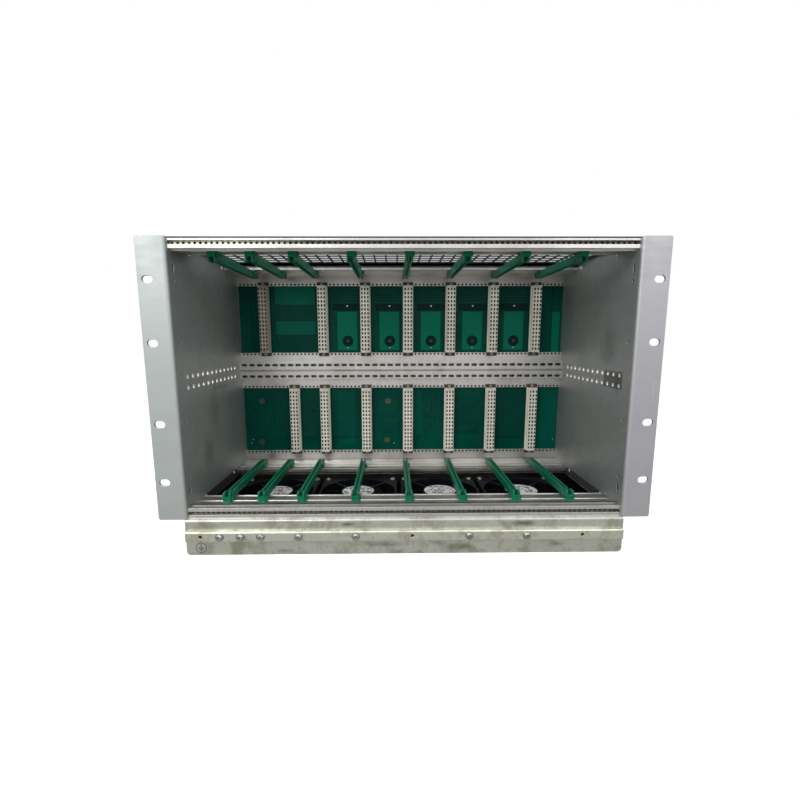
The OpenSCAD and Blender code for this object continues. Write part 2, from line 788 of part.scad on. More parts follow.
// A guide of the lower tier, drawn at x = 0: front foot with a lead-in, grooved runner,
// rear foot and two prongs.
module card_guide() {
    base = web_z + guide_clear;
    top = web_z + guide_h;
    foot_w = guide_w + 2 * guide_foot_side;
    foot_top = top + guide_foot_rise;
    rear_web_y = rear_face_y - rear_rail_depth + ridge_t;
    runner_end = guide_end_y - guide_prong_l;
    difference() {
        union() {
            // runner, over the rails' lips
            translate([-guide_w / 2, guide_y, base])
                cube([guide_w, runner_end - guide_y, top - base]);
            // front foot with a sloping nose
            translate([-foot_w / 2, 0, 0]) rotate([90, 0, 90]) linear_extrude(foot_w)
                polygon([[guide_y, web_z],
                         [guide_y + guide_foot_l, web_z],
                         [guide_y + guide_foot_l, foot_top - guide_foot_rise / 2],
                         [guide_y + guide_foot_l - 2, foot_top],
                         [guide_y + 1.5, foot_top],
                         [guide_y, foot_top - 1.5]]);
            // rear foot on the rear rail
            translate([-guide_w / 2, rear_web_y + guide_fit, web_z])
                cube([guide_w, guide_rear_l, guide_clear + over]);
            // latches beside the two feet, clear of the rail's ridges
            translate([guide_w / 2 - over, guide_y + guide_foot_l - guide_latch_l, web_z])
                cube([guide_latch_w + over, guide_latch_l, guide_latch_h]);
            translate([guide_w / 2 - over, rear_web_y + guide_fit, web_z])
                cube([guide_latch_w + over, guide_latch_l, guide_latch_h]);
            // prongs on each side of the groove
            for (s = [-1, 1])
                translate([s * (guide_w / 2 - 0.8) - 0.8, runner_end - over, base])
                    cube([1.6, guide_prong_l + over, top - base - 1.2]);
        }
        // card groove along the whole guide
        translate([-guide_groove_w / 2, guide_y - over, top - guide_groove_d])
            cube([guide_groove_w, guide_end_y - guide_y + 2 * over,
                  guide_groove_d + guide_foot_rise + over]);
        // lead-in that opens towards the front
        translate([0, guide_y, top - guide_groove_d])
            linear_extrude(guide_groove_d + guide_foot_rise + over)
                polygon([[-guide_mouth_w / 2, -over], [guide_mouth_w / 2, -over],
                         [guide_groove_w / 2, guide_foot_l * 0.7],
                         [-guide_groove_w / 2, guide_foot_l * 0.7]]);
        // notch over the front rail's middle ridge
        translate([-foot_w / 2 - over, rail_setback + mid_ridge_y - guide_fit, web_z - over])
            cube([foot_w + guide_latch_w + 2 * over, ridge_t + 2 * guide_fit,
                  over + ridge_h + guide_fit]);
        // recess over the neck behind the front foot
        translate([-guide_w / 2 - over, guide_y + guide_foot_l, top - guide_neck_d])
            cube([guide_w + 2 * over, guide_neck_l, guide_neck_d + over]);
    }
}

module card_guide_lower(i) {
    color([0.05, 0.42, 0.28]) in_place()
        translate([slot_x(card_slots, i - 1, guide_offset), 0, 0]) card_guide();
}

module card_guide_upper(i) {
    color([0.05, 0.42, 0.28]) in_place() flip_up()
        translate([slot_x(card_slots, i - 1, guide_offset), 0, 0]) card_guide();
}

// ---- top cover ----

module top_cover() {
    half = wall_x - cover_gap;
    hole = grid_pitch - grid_bar;
    color([0.36, 0.37, 0.38]) in_place()
        translate([0, 0, cage_h - cover_t])
            linear_extrude(cover_t)
                difference() {
                    translate([-half, rail_setback]) square([2 * half, rear_face_y - rail_setback]);
                    for (i = [0 : grid_columns - 1], j = [0 : grid_rows - 1])
                        translate([(i - (grid_columns - 1) / 2) * grid_pitch - hole / 2,
                                   grid_y + j * grid_pitch])
                            square(hole);
                }
}

// ---- fan tray ----

function fan_x(i) = fan_offset + (i - 1 - (fan_n - 1) / 2) * fan_pitch;

// Section of the tray: flange, bent front edge, front wall, floor, rear wall, rear flange.
module tray_section() {
    translate([0, 0]) mirror([0, 1]) bend(tray_bend, tray_t);
    translate([tray_bend, -tray_t]) square([tray_front_flange - tray_bend, tray_t]);
    translate([0, -tray_h]) square([tray_t, tray_h - tray_bend]);
    translate([0, -tray_h]) square([tray_depth, tray_t]);
    translate([tray_depth - tray_t, -tray_h]) square([tray_t, tray_h]);
    translate([tray_depth - tray_t, -tray_t]) square([tray_rear_flange + tray_t, tray_t]);
}

// Openings of one finger guard: rings of slots between four spokes.
module guard_openings() {
    difference() {
        for (ring = [0 : guard_rings - 1]) {
            inner_r = fan_duct_d / 2 - 4 - (guard_rings - ring) * guard_slot
                      - (guard_rings - 1 - ring) * guard_land;
            difference() {
                circle(inner_r + guard_slot, $fn = 64);
                circle(inner_r, $fn = 64);
            }
        }
        for (turn = [45, 135])
            rotate(turn) square([fan_duct_d, guard_spoke], center = true);
    }
}

module fan_tray() {
    color([0.60, 0.61, 0.57]) in_place()
        difference() {
            union() {
                across(2 * outer_x) tray_section();
                for (s = [-1, 1]) {
                    translate([s * (outer_x - tray_t / 2) - tray_t / 2, 0, -tray_h])
                        cube([tray_t, tray_depth, tray_h - tray_bend]);
                    translate([s * (outer_x - tray_t / 2) - tray_t / 2, tray_bend, -tray_h])
                        cube([tray_t, tray_depth - tray_bend, tray_h]);
                    translate([s * (outer_x - tray_side_flange / 2) - tray_side_flange / 2,
                               tray_bend, -tray_t])
                        cube([tray_side_flange, tray_depth - tray_bend, tray_t]);
                }
            }
            for (u = bar_holes)
                translate([u * hp, -over, -bar_drop - bar_h / 2])
                    rod_y(bar_hole_d + 2 * bar_hole_fit, tray_t + 2 * over);
            for (s = [-1, 1])
                translate([s * outer_x, 0, -tray_h]) mirror([s < 0 ? 1 : 0, 0, 0])
                    plate_at(-over, tray_depth + tray_rear_flange + 2 * over)
                        difference() {
                            translate([-tray_corner, -over])
                                square([tray_corner + over, tray_corner + over]);
                            translate([-tray_corner, tray_corner]) circle(tray_corner);
                        }
            for (i = [1 : fan_n])
                translate([fan_x(i), fan_y, -tray_h - over]) {
                    linear_extrude(tray_t + 2 * over) guard_openings();
                    for (x = [-1, 1], y = [-1, 1])
                        translate([x * fan_hole_span / 2, y * fan_hole_span / 2, 0])
                            cylinder(d = fan_screw_d + 0.1, h = tray_t + 2 * over);
                }
        }
}

// ---- fans ----

// A fan frame with its duct, struts and fixed motor, standing on z = 0, air upwards.
module fan_housing_shape() {
    hub_z = fan_h - fan_hub_t;
    stator_z = rotor_gap + rotor_wall + rotor_gap;
    difference() {
        union() {
            for (z = [0, fan_h - fan_flange_t])
                translate([0, 0, z]) linear_extrude(fan_flange_t)
                    rounded_square(fan_w, fan_corner);
            cylinder(d = fan_duct_d + 2 * fan_wall, h = fan_h, $fn = 72);
        }
        translate([0, 0, -over]) cylinder(d = fan_duct_d, h = fan_h + 2 * over, $fn = 72);
        for (x = [-1, 1], y = [-1, 1])
            translate([x * fan_hole_span / 2, y * fan_hole_span / 2, -over])
                cylinder(d = fan_hole_d, h = fan_h + 2 * over);
    }
    difference() {
        union() {
            translate([0, 0, hub_z]) cylinder(d = fan_hub_d, h = fan_hub_t, $fn = 48);
            for (i = [0 : fan_struts - 1])
                rotate([0, 0, 45 + i * 360 / fan_struts])
                    translate([fan_hub_d / 2 - fan_strut_root, -fan_strut_w / 2, hub_z])
                        cube([(fan_duct_d + fan_wall - fan_hub_d) / 2 + fan_strut_root, fan_strut_w,
                              fan_hub_t - 0.4]);
            translate([0, 0, stator_z])
                cylinder(d = fan_hub_d - 2 * (rotor_wall + rotor_gap), h = fan_h - stator_z - over,
                         $fn = 48);
        }
        // seat of the round plate on the hub
        translate([0, 0, fan_h - 0.4]) cylinder(d = fan_hub_d - 3, h = over, $fn = 48);
        // bearing
        translate([0, 0, stator_z - over])
            cylinder(d = shaft_d + 2 * shaft_fit, h = hub_z - stator_z + over);
    }
}

// Outline of a blade: a strip along a swept line from the hub to the tip.
module blade_outline() {
    r0 = fan_hub_d / 2 - 0.8;
    r1 = fan_duct_d / 2 - blade_gap;
    steps = 4;
    // half the angle that the blade takes up, wider than blade_t because the blade leans
    function half_angle(r) = 0.65 * blade_t / r * 180 / PI;
    function edge(k, side) =
        let (r = r0 + (r1 - r0) * k / steps, a = blade_sweep * k / steps + side * half_angle(r))
        [r * cos(a), r * sin(a)];
    // out along one side and back along the other
    polygon(concat([for (k = [0 : steps]) edge(k, -1)], [for (k = [steps : -1 : 0]) edge(k, 1)]));
}

// A rotor: cup, shaft and twisted blades, in the frame's own coordinates.
module fan_rotor_shape() {
    cup_z = rotor_gap;
    cup_top = fan_h - fan_hub_t - rotor_gap;
    blade_z = cup_z + 2;
    blade_h = cup_top - blade_z - 1.5;
    difference() {
        translate([0, 0, cup_z]) cylinder(d = fan_hub_d, h = cup_top - cup_z, $fn = 48);
        translate([0, 0, cup_z + rotor_wall])
            cylinder(d = fan_hub_d - 2 * rotor_wall, h = cup_top - cup_z, $fn = 48);
    }
    translate([0, 0, cup_z + rotor_wall / 2])
        cylinder(d = shaft_d, h = cup_top - cup_z - rotor_wall / 2 - over);
    for (i = [0 : blades - 1])
        rotate([0, 0, i * 360 / blades]) translate([0, 0, blade_z])
            linear_extrude(blade_h, twist = -blade_twist, slices = 6, $fn = 10) blade_outline();
}

module at_fan(i) {
    in_place() translate([fan_x(i), fan_y, tray_t - tray_h]) children();
}

module fan_housing(i) {
    color([0.05, 0.05, 0.07]) at_fan(i) fan_housing_shape();
}

module fan_rotor(i) {
    color([0.08, 0.08, 0.10]) at_fan(i) fan_rotor_shape();
}

// ---- earth bar ----

module earth_bar() {
    color([0.63, 0.64, 0.58]) in_place()
        difference() {
            across(2 * (outer_x - bar_end_gap))
                translate([-bar_t, -bar_drop - bar_h])
                    difference() {
                        square([bar_t, bar_h]);
                        translate([0, bar_h - bar_round])
                            difference() {
                                translate([-over, 0]) square([bar_round + over, bar_round + over]);
                                translate([bar_round, 0]) circle(bar_round);
                            }
                    }
            for (u = bar_holes)
                translate([u * hp, -bar_t - over, -bar_drop - bar_h / 2])
                    rod_y(bar_hole_d, bar_t + 2 * over);
        }
}

// ---- screws ----

module earth_screws() {
    color([0.72, 0.72, 0.70]) in_place()
        for (k = bar_screwed)
            translate([bar_holes[k] * hp, -bar_t, -bar_drop - bar_h / 2]) rotate([90, 0, 0]) {
                cylinder(d = washer_d, h = washer_t);
                translate([0, 0, washer_t])
                    pan_screw(bar_hole_d - 0.2, washer_t + bar_t + tray_t + 2, bar_head_d, bar_head_h);
            }
}

module rail_screws() {
    color([0.70, 0.70, 0.70]) in_place()
        for (s = [-1, 1])
            mirror([s < 0 ? 1 : 0, 0, 0]) {
                for (up = [0, 1])
                    mirrored_up(up)
                        for (p = concat(front_channels, rear_channels)) rail_screw(p);
                for (v = [-1, 1]) rail_screw([beam_y, mid_z + v * beam_z]);
            }
}

// One screw through the right side panel at a [depth, height].
module rail_screw(p) {
    translate([outer_x, p[0], p[1]]) rotate([0, 90, 0])
        pan_screw(rail_screw_d, side_t + rail_screw_l, rail_head_d, rail_head_h);
}

// The connector screws of the lower tier: head, shank through ear, flange and board, and nut.
module conn_screw_row(slots) {
    shank = conn_ear_t + flange_t + board_t + 2;
    for (i = [0 : len(slots) - 1], s = [-1, 1])
        translate([slot_x(slots, i, conn_offset), flange_y - conn_ear_t, lower_z + s * hole_row])
            rotate([90, 0, 0]) {
                pan_screw(conn_screw_d, shank, conn_head_d, conn_head_h);
                translate([0, 0, -shank + 0.2]) cylinder(d = conn_nut_d, h = conn_nut_h, $fn = 6);
            }
}

module connector_screws() {
    color([0.70, 0.70, 0.68]) in_place() {
        conn_screw_row(lower_conns);
        flip_up() conn_screw_row(upper_conns);
    }
}

module fan_screws() {
    color([0.70, 0.70, 0.70])
        for (i = [1 : fan_n])
            at_fan(i)
                for (x = [-1, 1], y = [-1, 1])
                    translate([x * fan_hole_span / 2, y * fan_hole_span / 2, fan_h])
                        pan_screw(fan_screw_d, fan_h + tray_t - 0.3, fan_head_d, fan_head_h);
}

// ---- the parts ----

side_panel_left();
side_panel_right();
front_rail_bottom();
front_rail_top();
threaded_strip_bottom();
threaded_strip_top();
rear_rail_bottom();
rear_rail_top();
mid_rail_lower();
mid_rail_upper();
backplane_lower();
backplane_upper();
for (i = [1 : len(lower_conns)])
    connector_lower(i);
for (i = [1 : len(upper_conns)])
    connector_upper(i);
for (i = [1 : len(card_slots)])
    card_guide_lower(i);
for (i = [1 : len(card_slots)])
    card_guide_upper(i);
top_cover();
fan_tray();
earth_bar();
for (i = [1 : fan_n]) fan_housing(i);
for (i = [1 : fan_n]) fan_rotor(i);
earth_screws();
rail_screws();
connector_screws();
fan_screws();
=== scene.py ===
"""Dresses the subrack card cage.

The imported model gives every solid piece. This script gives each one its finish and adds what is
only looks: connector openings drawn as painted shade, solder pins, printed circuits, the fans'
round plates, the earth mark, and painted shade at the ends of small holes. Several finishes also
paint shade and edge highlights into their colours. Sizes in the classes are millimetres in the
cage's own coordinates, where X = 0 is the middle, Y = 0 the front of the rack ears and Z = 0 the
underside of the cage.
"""

from __future__ import annotations

import logging
import math
import random
from dataclasses import dataclass
from enum import Enum

import bmesh
import bpy
from mathutils import Matrix, Vector


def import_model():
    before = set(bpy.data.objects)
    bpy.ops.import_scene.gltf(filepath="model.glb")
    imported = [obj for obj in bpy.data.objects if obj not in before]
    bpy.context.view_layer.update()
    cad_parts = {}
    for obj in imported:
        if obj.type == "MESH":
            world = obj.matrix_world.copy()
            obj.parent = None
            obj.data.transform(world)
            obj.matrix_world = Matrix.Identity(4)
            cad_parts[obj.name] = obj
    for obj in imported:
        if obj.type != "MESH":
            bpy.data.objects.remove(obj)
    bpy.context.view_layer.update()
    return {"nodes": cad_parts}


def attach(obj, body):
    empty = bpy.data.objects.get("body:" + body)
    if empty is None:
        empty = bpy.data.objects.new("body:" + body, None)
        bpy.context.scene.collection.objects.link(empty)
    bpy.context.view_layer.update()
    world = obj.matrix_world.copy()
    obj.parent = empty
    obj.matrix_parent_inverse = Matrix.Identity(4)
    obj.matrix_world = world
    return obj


LOG = logging.getLogger("card_cage")

Colour = tuple[float, float, float]
Triple = tuple[float, float, float]
Pair = tuple[float, float]
Area = tuple[float, float, float, float]
Material = bpy.types.Material
Node = bpy.types.Node
Socket = bpy.types.NodeSocket
Tree = bpy.types.NodeTree
Values = dict[str | int, object]
Piece = bpy.types.Object

MM = 1000.0
FLOAT = "NodeSocketFloat"
VECTOR = "NodeSocketVector"


# ---------------------------------------------------------------- places


@dataclass(frozen=True)
class CagePlaces:
    """The cage's fixed places, and the way from its millimetres to the part's metres."""

    middle_depth: float = 113.8
    tray_height: float = 37.0
    pitch: float = 5.08
    lower_tier: float = 66.275
    upper_tier: float = 199.625
    board_front: float = 182.2
    board_back: float = 185.4
    connector_face: float = 169.5
    upper_slots: tuple[float, ...] = (-36, -21, -10, 1, 12, 23, 34)
    lower_slots: tuple[float, ...] = (-29, -21, -10, 1, 12, 23, 34)
    connector_offset: float = 0.66
    fan_places: tuple[float, ...] = (-150.5, -53.5, 43.5, 140.5)
    fan_depth: float = 90.0
    fan_top: float = -3.5

    def point(self, x: float, y: float, z: float) -> Vector:
        """Turns a place in the cage's millimetres into the part's metres.

        Args:
            x: distance to the right of the middle.
            y: depth behind the ears.
            z: height above the cage's underside.

        Returns:
            The place in metres.
        """
        return Vector((x, y - self.middle_depth, z + self.tray_height)) / MM

    def connector_x(self, slot: float) -> float:
        """Gives the middle of the connector of a card slot, in millimetres."""
        return (slot + self.connector_offset) * self.pitch


PLACES = CagePlaces()


# ---------------------------------------------------------------- node helpers


class Graph:
    """Adds nodes to one tree and links them."""

    def __init__(self, tree: Tree) -> None:
        """Keeps the tree."""
        self.tree = tree

    def add(self, kind: str, values: Values | None = None, **settings: object) -> Node:
        """Adds a node, sets its properties and fills or links its inputs.

        Args:
            kind: the node's type name.
            values: input name or index to a value or to an output socket.
            settings: properties of the node.

        Returns:
            The new node.
        """
        node = self.tree.nodes.new(kind)
        for name, value in settings.items():
            setattr(node, name, value)
        for key, value in (values or {}).items():
            self.put(node.inputs[key], value)
        return node

    def out(self, kind: str, values: Values, **settings: object) -> Socket:
        """Adds a node in the same way and returns its first output."""
        return self.add(kind, values, **settings).outputs[0]

    def put(self, socket: Socket, value: object) -> None:
        """Links an output socket to an input, or writes a plain value to it."""
        if isinstance(value, bpy.types.NodeSocket):
            self.tree.links.new(value, socket)
        else:
            socket.default_value = value

    def calc(self, operation: str, a: object, b: object = 0.0, clamp: bool = False) -> Socket:
        """Adds a Math node and returns its output."""
        return self.out("ShaderNodeMath", {0: a, 1: b}, operation=operation, use_clamp=clamp)

    def times(self, a: object, b: object, clamp: bool = False) -> Socket:
        """Multiplies two values and returns the result."""
        return self.calc("MULTIPLY", a, b, clamp)

    def vector(self, operation: str, *values: object) -> Socket:
        """Adds a Vector Math node and returns its vector, or its number if it gives one."""
        node = self.add("ShaderNodeVectorMath", dict(enumerate(values)), operation=operation)
        return node.outputs["Value" if operation in ("DOT_PRODUCT", "LENGTH") else "Vector"]

    def blend(self, share: object, a: object, b: object) -> Socket:
        """Mixes two colours and returns the result."""
        values = {0: share, 6: rgba(a), 7: rgba(b)}
        return self.add("ShaderNodeMix", values, data_type="RGBA", clamp_factor=True).outputs[2]

    def spread(
        self, value: object, low: object, high: object, to_low: float = 0.0, to_high: float = 1.0
    ) -> Socket:
        """Maps a range of values smoothly to another and returns the result."""
        values = {0: value, 1: low, 2: high, 3: to_low, 4: to_high}
        return self.out("ShaderNodeMapRange", values, interpolation_type="SMOOTHSTEP")

    def noise(self, place: Socket, scale: object, detail: float, **more: float) -> Socket:
        """Adds a noise texture and returns its value.

        Args:
            place: the coordinates.
            scale: how fine the noise is.
            detail: number of finer layers.
            more: further inputs by name.

        Returns:
            The noise.
        """
        values = {"Vector": place, "Scale": scale, "Detail": detail, **more}
        return self.add("ShaderNodeTexNoise", values).outputs["Fac"]


def rgba(value: object) -> object:
    """Adds an alpha to a plain colour and leaves a socket as it is."""
    if isinstance(value, tuple) and len(value) == 3:
        return (*value, 1.0)
    return value


class Effect(Graph):
    """A shader node group in the making, with coordinates as its first input."""

    def __init__(self, name: str, inputs: dict[str, object], outputs: dict[str, str] | None = None) -> None:
        """Starts the group with named sockets.

        Args:
            name: the group's name.
            inputs: input name to its default, a number or a vector.
            outputs: output name to its socket type; one mask if left out.
        """
        super().__init__(bpy.data.node_groups.new(name, "ShaderNodeTree"))
        sockets = self.tree.interface
        sockets.new_socket(name="Vector", in_out="INPUT", socket_type=VECTOR)
        for key, default in inputs.items():
            kind = VECTOR if isinstance(default, tuple) else FLOAT
            sockets.new_socket(name=key, in_out="INPUT", socket_type=kind).default_value = default
        for key, kind in (outputs or {"Mask": FLOAT}).items():
            sockets.new_socket(name=key, in_out="OUTPUT", socket_type=kind)
        self.given = self.add("NodeGroupInput").outputs
        self.end = self.add("NodeGroupOutput").inputs

    def give(self, value: Socket, name: str = "Mask") -> Tree:
        """Links a value to an output of the group and returns the group's tree."""
        self.put(self.end[name], value)
        return self.tree


class Surface(Graph):
    """A material in the making, with its Principled shader and Object coordinates."""

    def __init__(self, name: str) -> None:
        """Starts the material."""
        self.material = bpy.data.materials.new(name)
        self.material.use_nodes = True
        super().__init__(self.material.node_tree)
        self.shader = next(n for n in self.tree.nodes if n.type == "BSDF_PRINCIPLED")
        self.place = self.add("ShaderNodeTexCoord").outputs["Object"]

    def effect(self, group: Tree, **values: object) -> bpy.types.NodeOutputs:
        """Places a shared shader group, fills its inputs and returns its outputs."""
        return self.add("ShaderNodeGroup", {"Vector": self.place, **values}, node_tree=group).outputs

    def bump(self, height: Socket, strength: float, distance: float, **more: Socket) -> Socket:
        """Adds a bump and returns its normal."""
        values = {"Strength": strength, "Distance": distance, "Height": height, **more}
        return self.out("ShaderNodeBump", values)


# ---------------------------------------------------------------- shared effects


class Effects:
    """The shader node groups that several finishes share."""

    def __init__(self) -> None:
        """Builds each group once."""
        self.grain = self._grain()
        self.blotches = self._blotches()
        self.wear_and_highlight = self._wear_and_highlight()
        self.dust = self._dust()
        self.spot = self._spot()
        self.inside = self._inside()
        self.scratches = self._scratches()

    def _grain(self) -> Tree:
        """Builds fine streaks: noise stretched along one direction."""
        g = Effect("metal_grain", {"Stretch": (900.0, 900.0, 30.0)}, {"Value": FLOAT})
        scaled = g.vector("MULTIPLY", g.given["Vector"], g.given["Stretch"])
        fine = g.times(g.noise(scaled, 1.0, 4.0, Roughness=0.65), 0.65)
        broad = g.times(g.noise(scaled, 0.13, 2.0), 0.35)
        return g.give(g.spread(g.calc("ADD", fine, broad), 0.3, 0.7), "Value")

    def _blotches(self) -> Tree:
        """Builds soft uneven patches."""
        g = Effect("blotches", {"Scale": 14.0, "Low": 0.45, "High": 0.7})
        noise = g.noise(g.given["Vector"], g.given["Scale"], 5.0, Roughness=0.6, Distortion=0.4)
        return g.give(g.spread(noise, g.given["Low"], g.given["High"]))

    def _wear_and_highlight(self) -> Tree:
        """Builds a mask of the edges, broken up by noise, that lightens them: partly rubbed edges, partly
        painted highlight; and gives the rounded edges' normal.
        """
        g = Effect("edge_wear_and_highlight", {"Radius": 0.0006, "Gain": 4.0}, {"Mask": FLOAT, "Normal": VECTOR})
        rounded = g.out("ShaderNodeBevel", {"Radius": g.given["Radius"]}, samples=4)
        flat = g.add("ShaderNodeNewGeometry").outputs["Normal"]
        turned = g.calc("SUBTRACT", 1.0, g.vector("DOT_PRODUCT", rounded, flat))
        edge = g.times(turned, g.given["Gain"], clamp=True)
        broken = g.spread(g.noise(g.given["Vector"], 160.0, 3.0), 0.35, 0.6, 0.25, 1.0)
        g.give(rounded, "Normal")
        return g.give(g.times(edge, broken, clamp=True))

    def _dust(self) -> Tree:
        """Builds a mask of dust on faces that look up."""
        g = Effect("dust", {"Amount": 0.4})
        normal = g.add("ShaderNodeNewGeometry").outputs["Normal"]
        up = g.spread(g.add("ShaderNodeSeparateXYZ", {0: normal}).outputs["Z"], 0.2, 0.95)
        noise = g.noise(g.given["Vector"], 55.0, 6.0, Roughness=0.7)
        patchy = g.spread(noise, 0.35, 0.7, 0.2, 1.0)
        return g.give(g.times(g.times(up, patchy), g.given["Amount"], clamp=True))

    def _measured(self, name: str) -> tuple[Effect, Socket]:
        """Starts a group that measures the way from a centre.

        Args:
            name: the group's name.

        Returns:
            The group, and the way from the centre with each half size as one.
        """
        g = Effect(name, {"Centre": (0.0, 0.0, 0.0), "Spread": (50.0, 50.0, 50.0), "Strength": 1.0})
        away = g.vector("SUBTRACT", g.given["Vector"], g.given["Centre"])
        return g, g.vector("MULTIPLY", away, g.given["Spread"])

    def _spot(self) -> Tree:
        """Builds one soft oval spot round a centre, with a ragged edge."""
        g, away = self._measured("spot_mask")
        noise = g.noise(g.given["Vector"], 70.0, 5.0, Roughness=0.65)
        uneven = g.times(g.calc("SUBTRACT", noise, 0.5), 1.4)
        core = g.spread(g.calc("ADD", g.vector("LENGTH", away), uneven), 0.1, 1.1, 1.0, 0.0)
        return g.give(g.times(core, g.given["Strength"], clamp=True))

    def _inside(self) -> Tree:
        """Builds a mask of what lies inside a box."""
        g, away = self._measured("inside_box")
        parts = g.add("ShaderNodeSeparateXYZ", {0: g.vector("ABSOLUTE", away)}).outputs
        most = g.calc("MAXIMUM", g.calc("MAXIMUM", parts[0], parts[1]), parts[2])
        return g.give(g.times(g.calc("LESS_THAN", most, 1.0), g.given["Strength"]))

    def _scratches(self) -> Tree:
        """Builds sparse thin lines that run in one slanted direction."""
        inputs = {"Turn": (0.0, 0.6, 0.0), "Stretch": (160.0, 160.0, 9.0), "Width": 0.012}
        g = Effect("scratches", inputs)
        mapping = {"Vector": g.given["Vector"], "Rotation": g.given["Turn"], "Scale": g.given["Stretch"]}
        turned = g.out("ShaderNodeMapping", mapping)
        away = g.calc("ABSOLUTE", g.calc("SUBTRACT", g.noise(turned, 1.0, 1.0), 0.5))
        line = g.calc("LESS_THAN", away, g.given["Width"])
        sparse = g.spread(g.noise(g.given["Vector"], 28.0, 2.0), 0.56, 0.66)
        return g.give(g.times(line, sparse, clamp=True))


# ---------------------------------------------------------------- finishes


class Grain(Enum):
    """Direction of the fine lines in a metal, as its stretch along X, Y and Z."""

    ACROSS = (26.0, 900.0, 900.0)
    UPRIGHT = (900.0, 900.0, 26.0)
    TO_BACK = (900.0, 26.0, 900.0)
    ROLLED = (60.0, 260.0, 260.0)


@dataclass(frozen=True)
class SoftSpot:
    """One soft spot of another colour, used for stained patches and for painted shade: its centre in the
    cage's millimetres, its half sizes and its strength.
    """

    x: float
    y: float
    z: float
    half_y: float
    half_z: float
    strength: float
    half_x: float = 60.0

    def inputs(self) -> dict[str, object]:
        """Gives the inputs of the spot group, in the part's metres."""
        spread = (MM / self.half_x, MM / self.half_y, MM / self.half_z)
        centre = tuple(PLACES.point(self.x, self.y, self.z))
        return {"Centre": centre, "Spread": spread, "Strength": self.strength}


@dataclass(frozen=True)
class Zone:
    """A box in the cage's millimetres that has its own colour, such as a cut edge, or painted shade in a
    cavity.
    """

    low: Triple
    high: Triple
    colour: Colour
    share: float = 1.0

    def inputs(self) -> dict[str, object]:
        """Gives the inputs of the box group, in the part's metres."""
        middle = [(a + b) / 2 for a, b in zip(self.low, self.high)]
        spread = tuple(2 * MM / (b - a) for a, b in zip(self.low, self.high))
        return {"Centre": tuple(PLACES.point(*middle)), "Spread": spread, "Strength": self.share}


@dataclass(frozen=True)
class Finish:
    """A finish that becomes one material."""

    name: str
    base: Colour

    def build(self, effects: Effects) -> Material:
        """Makes the material.

        Args:
            effects: the shared shader groups.

        Returns:
            The new material.
        """
        surface = Surface(self.name)
        for key, value in self.inputs(surface, effects).items():
            surface.put(surface.shader.inputs[key], value)
        return surface.material

    def inputs(self, s: Surface, effects: Effects) -> dict[str, object]:
        """Gives the values and sockets of the Principled shader's inputs."""
        raise NotImplementedError


@dataclass(frozen=True)
class MetalFinish(Finish):
    """A bare or plated metal sheet, bar or extrusion."""

    patch: Colour
    worn_and_lit: Colour
    grain: Grain
    roughness: float = 0.36
    metallic: float = 1.0
    grain_share: float = 0.12
    grain_shade: float = 0.72
    patch_scale: float = 14.0
    patch_share: float = 0.5
    fine_scale: float = 7.0
    fine_share: float = 0.35
    edge_radius: float = 0.0006
    wear_and_highlight_share: float = 0.6
    dust_amount: float = 0.12
    dust_colour: Colour = (0.42, 0.40, 0.36)
    bump: float = 0.06
    bump_depth: float = 0.0004
    scratch_share: float = 0.25
    grain_rough: Pair = (-0.06, 0.08)
    dust_rough: float = 0.35
    patch_rough: float = 0.1
    spot_colour: Colour = (0.10, 0.085, 0.06)
    spots: tuple[SoftSpot, ...] = ()
    zones: tuple[Zone, ...] = ()

    def inputs(self, s: Surface, effects: Effects) -> dict[str, object]:
        """Gives the values and sockets of the Principled shader's inputs."""
        grain = s.effect(effects.grain, Stretch=self.grain.value)[0]
        patches = s.effect(effects.blotches, Scale=self.patch_scale)[0]
        fine = s.effect(effects.blotches, Scale=self.patch_scale * self.fine_scale, Low=0.4, High=0.8)[0]
        edge = s.effect(effects.wear_and_highlight, Radius=self.edge_radius)
        dust = s.effect(effects.dust, Amount=self.dust_amount)[0]
        lines = s.effect(effects.scratches)[0]
        share = s.times(s.calc("ADD", patches, s.times(fine, self.fine_share)), self.patch_share, clamp=True)
        colour = s.blend(share, self.base, self.patch)
        darker = tuple(c * self.grain_shade for c in self.base)
        colour = s.blend(s.times(grain, self.grain_share * 2), colour, darker)
        for soft_spot in self.spots:
            colour = s.blend(s.effect(effects.spot, **soft_spot.inputs())[0], colour, self.spot_colour)
        # Edges take the lighter edge colour: partly rubbing, partly painted highlight.
        colour = s.blend(s.times(edge["Mask"], self.wear_and_highlight_share), colour, self.worn_and_lit)
        colour = s.blend(s.times(lines, self.scratch_share), colour, self.worn_and_lit)
        colour = s.blend(dust, colour, self.dust_colour)
        for zone in self.zones:
            colour = s.blend(s.effect(effects.inside, **zone.inputs())[0], colour, zone.colour)
        rough = s.spread(grain, 0.0, 1.0, *(self.roughness + more for more in self.grain_rough))
        rough = s.calc("ADD", rough, s.times(dust, self.dust_rough))
        rough = s.calc("ADD", rough, s.times(share, self.patch_rough), clamp=True)
        normal = s.bump(grain, self.bump, self.bump_depth, Normal=edge["Normal"])
        return {"Base Color": colour, "Metallic": self.metallic, "Roughness": rough, "Normal": normal}


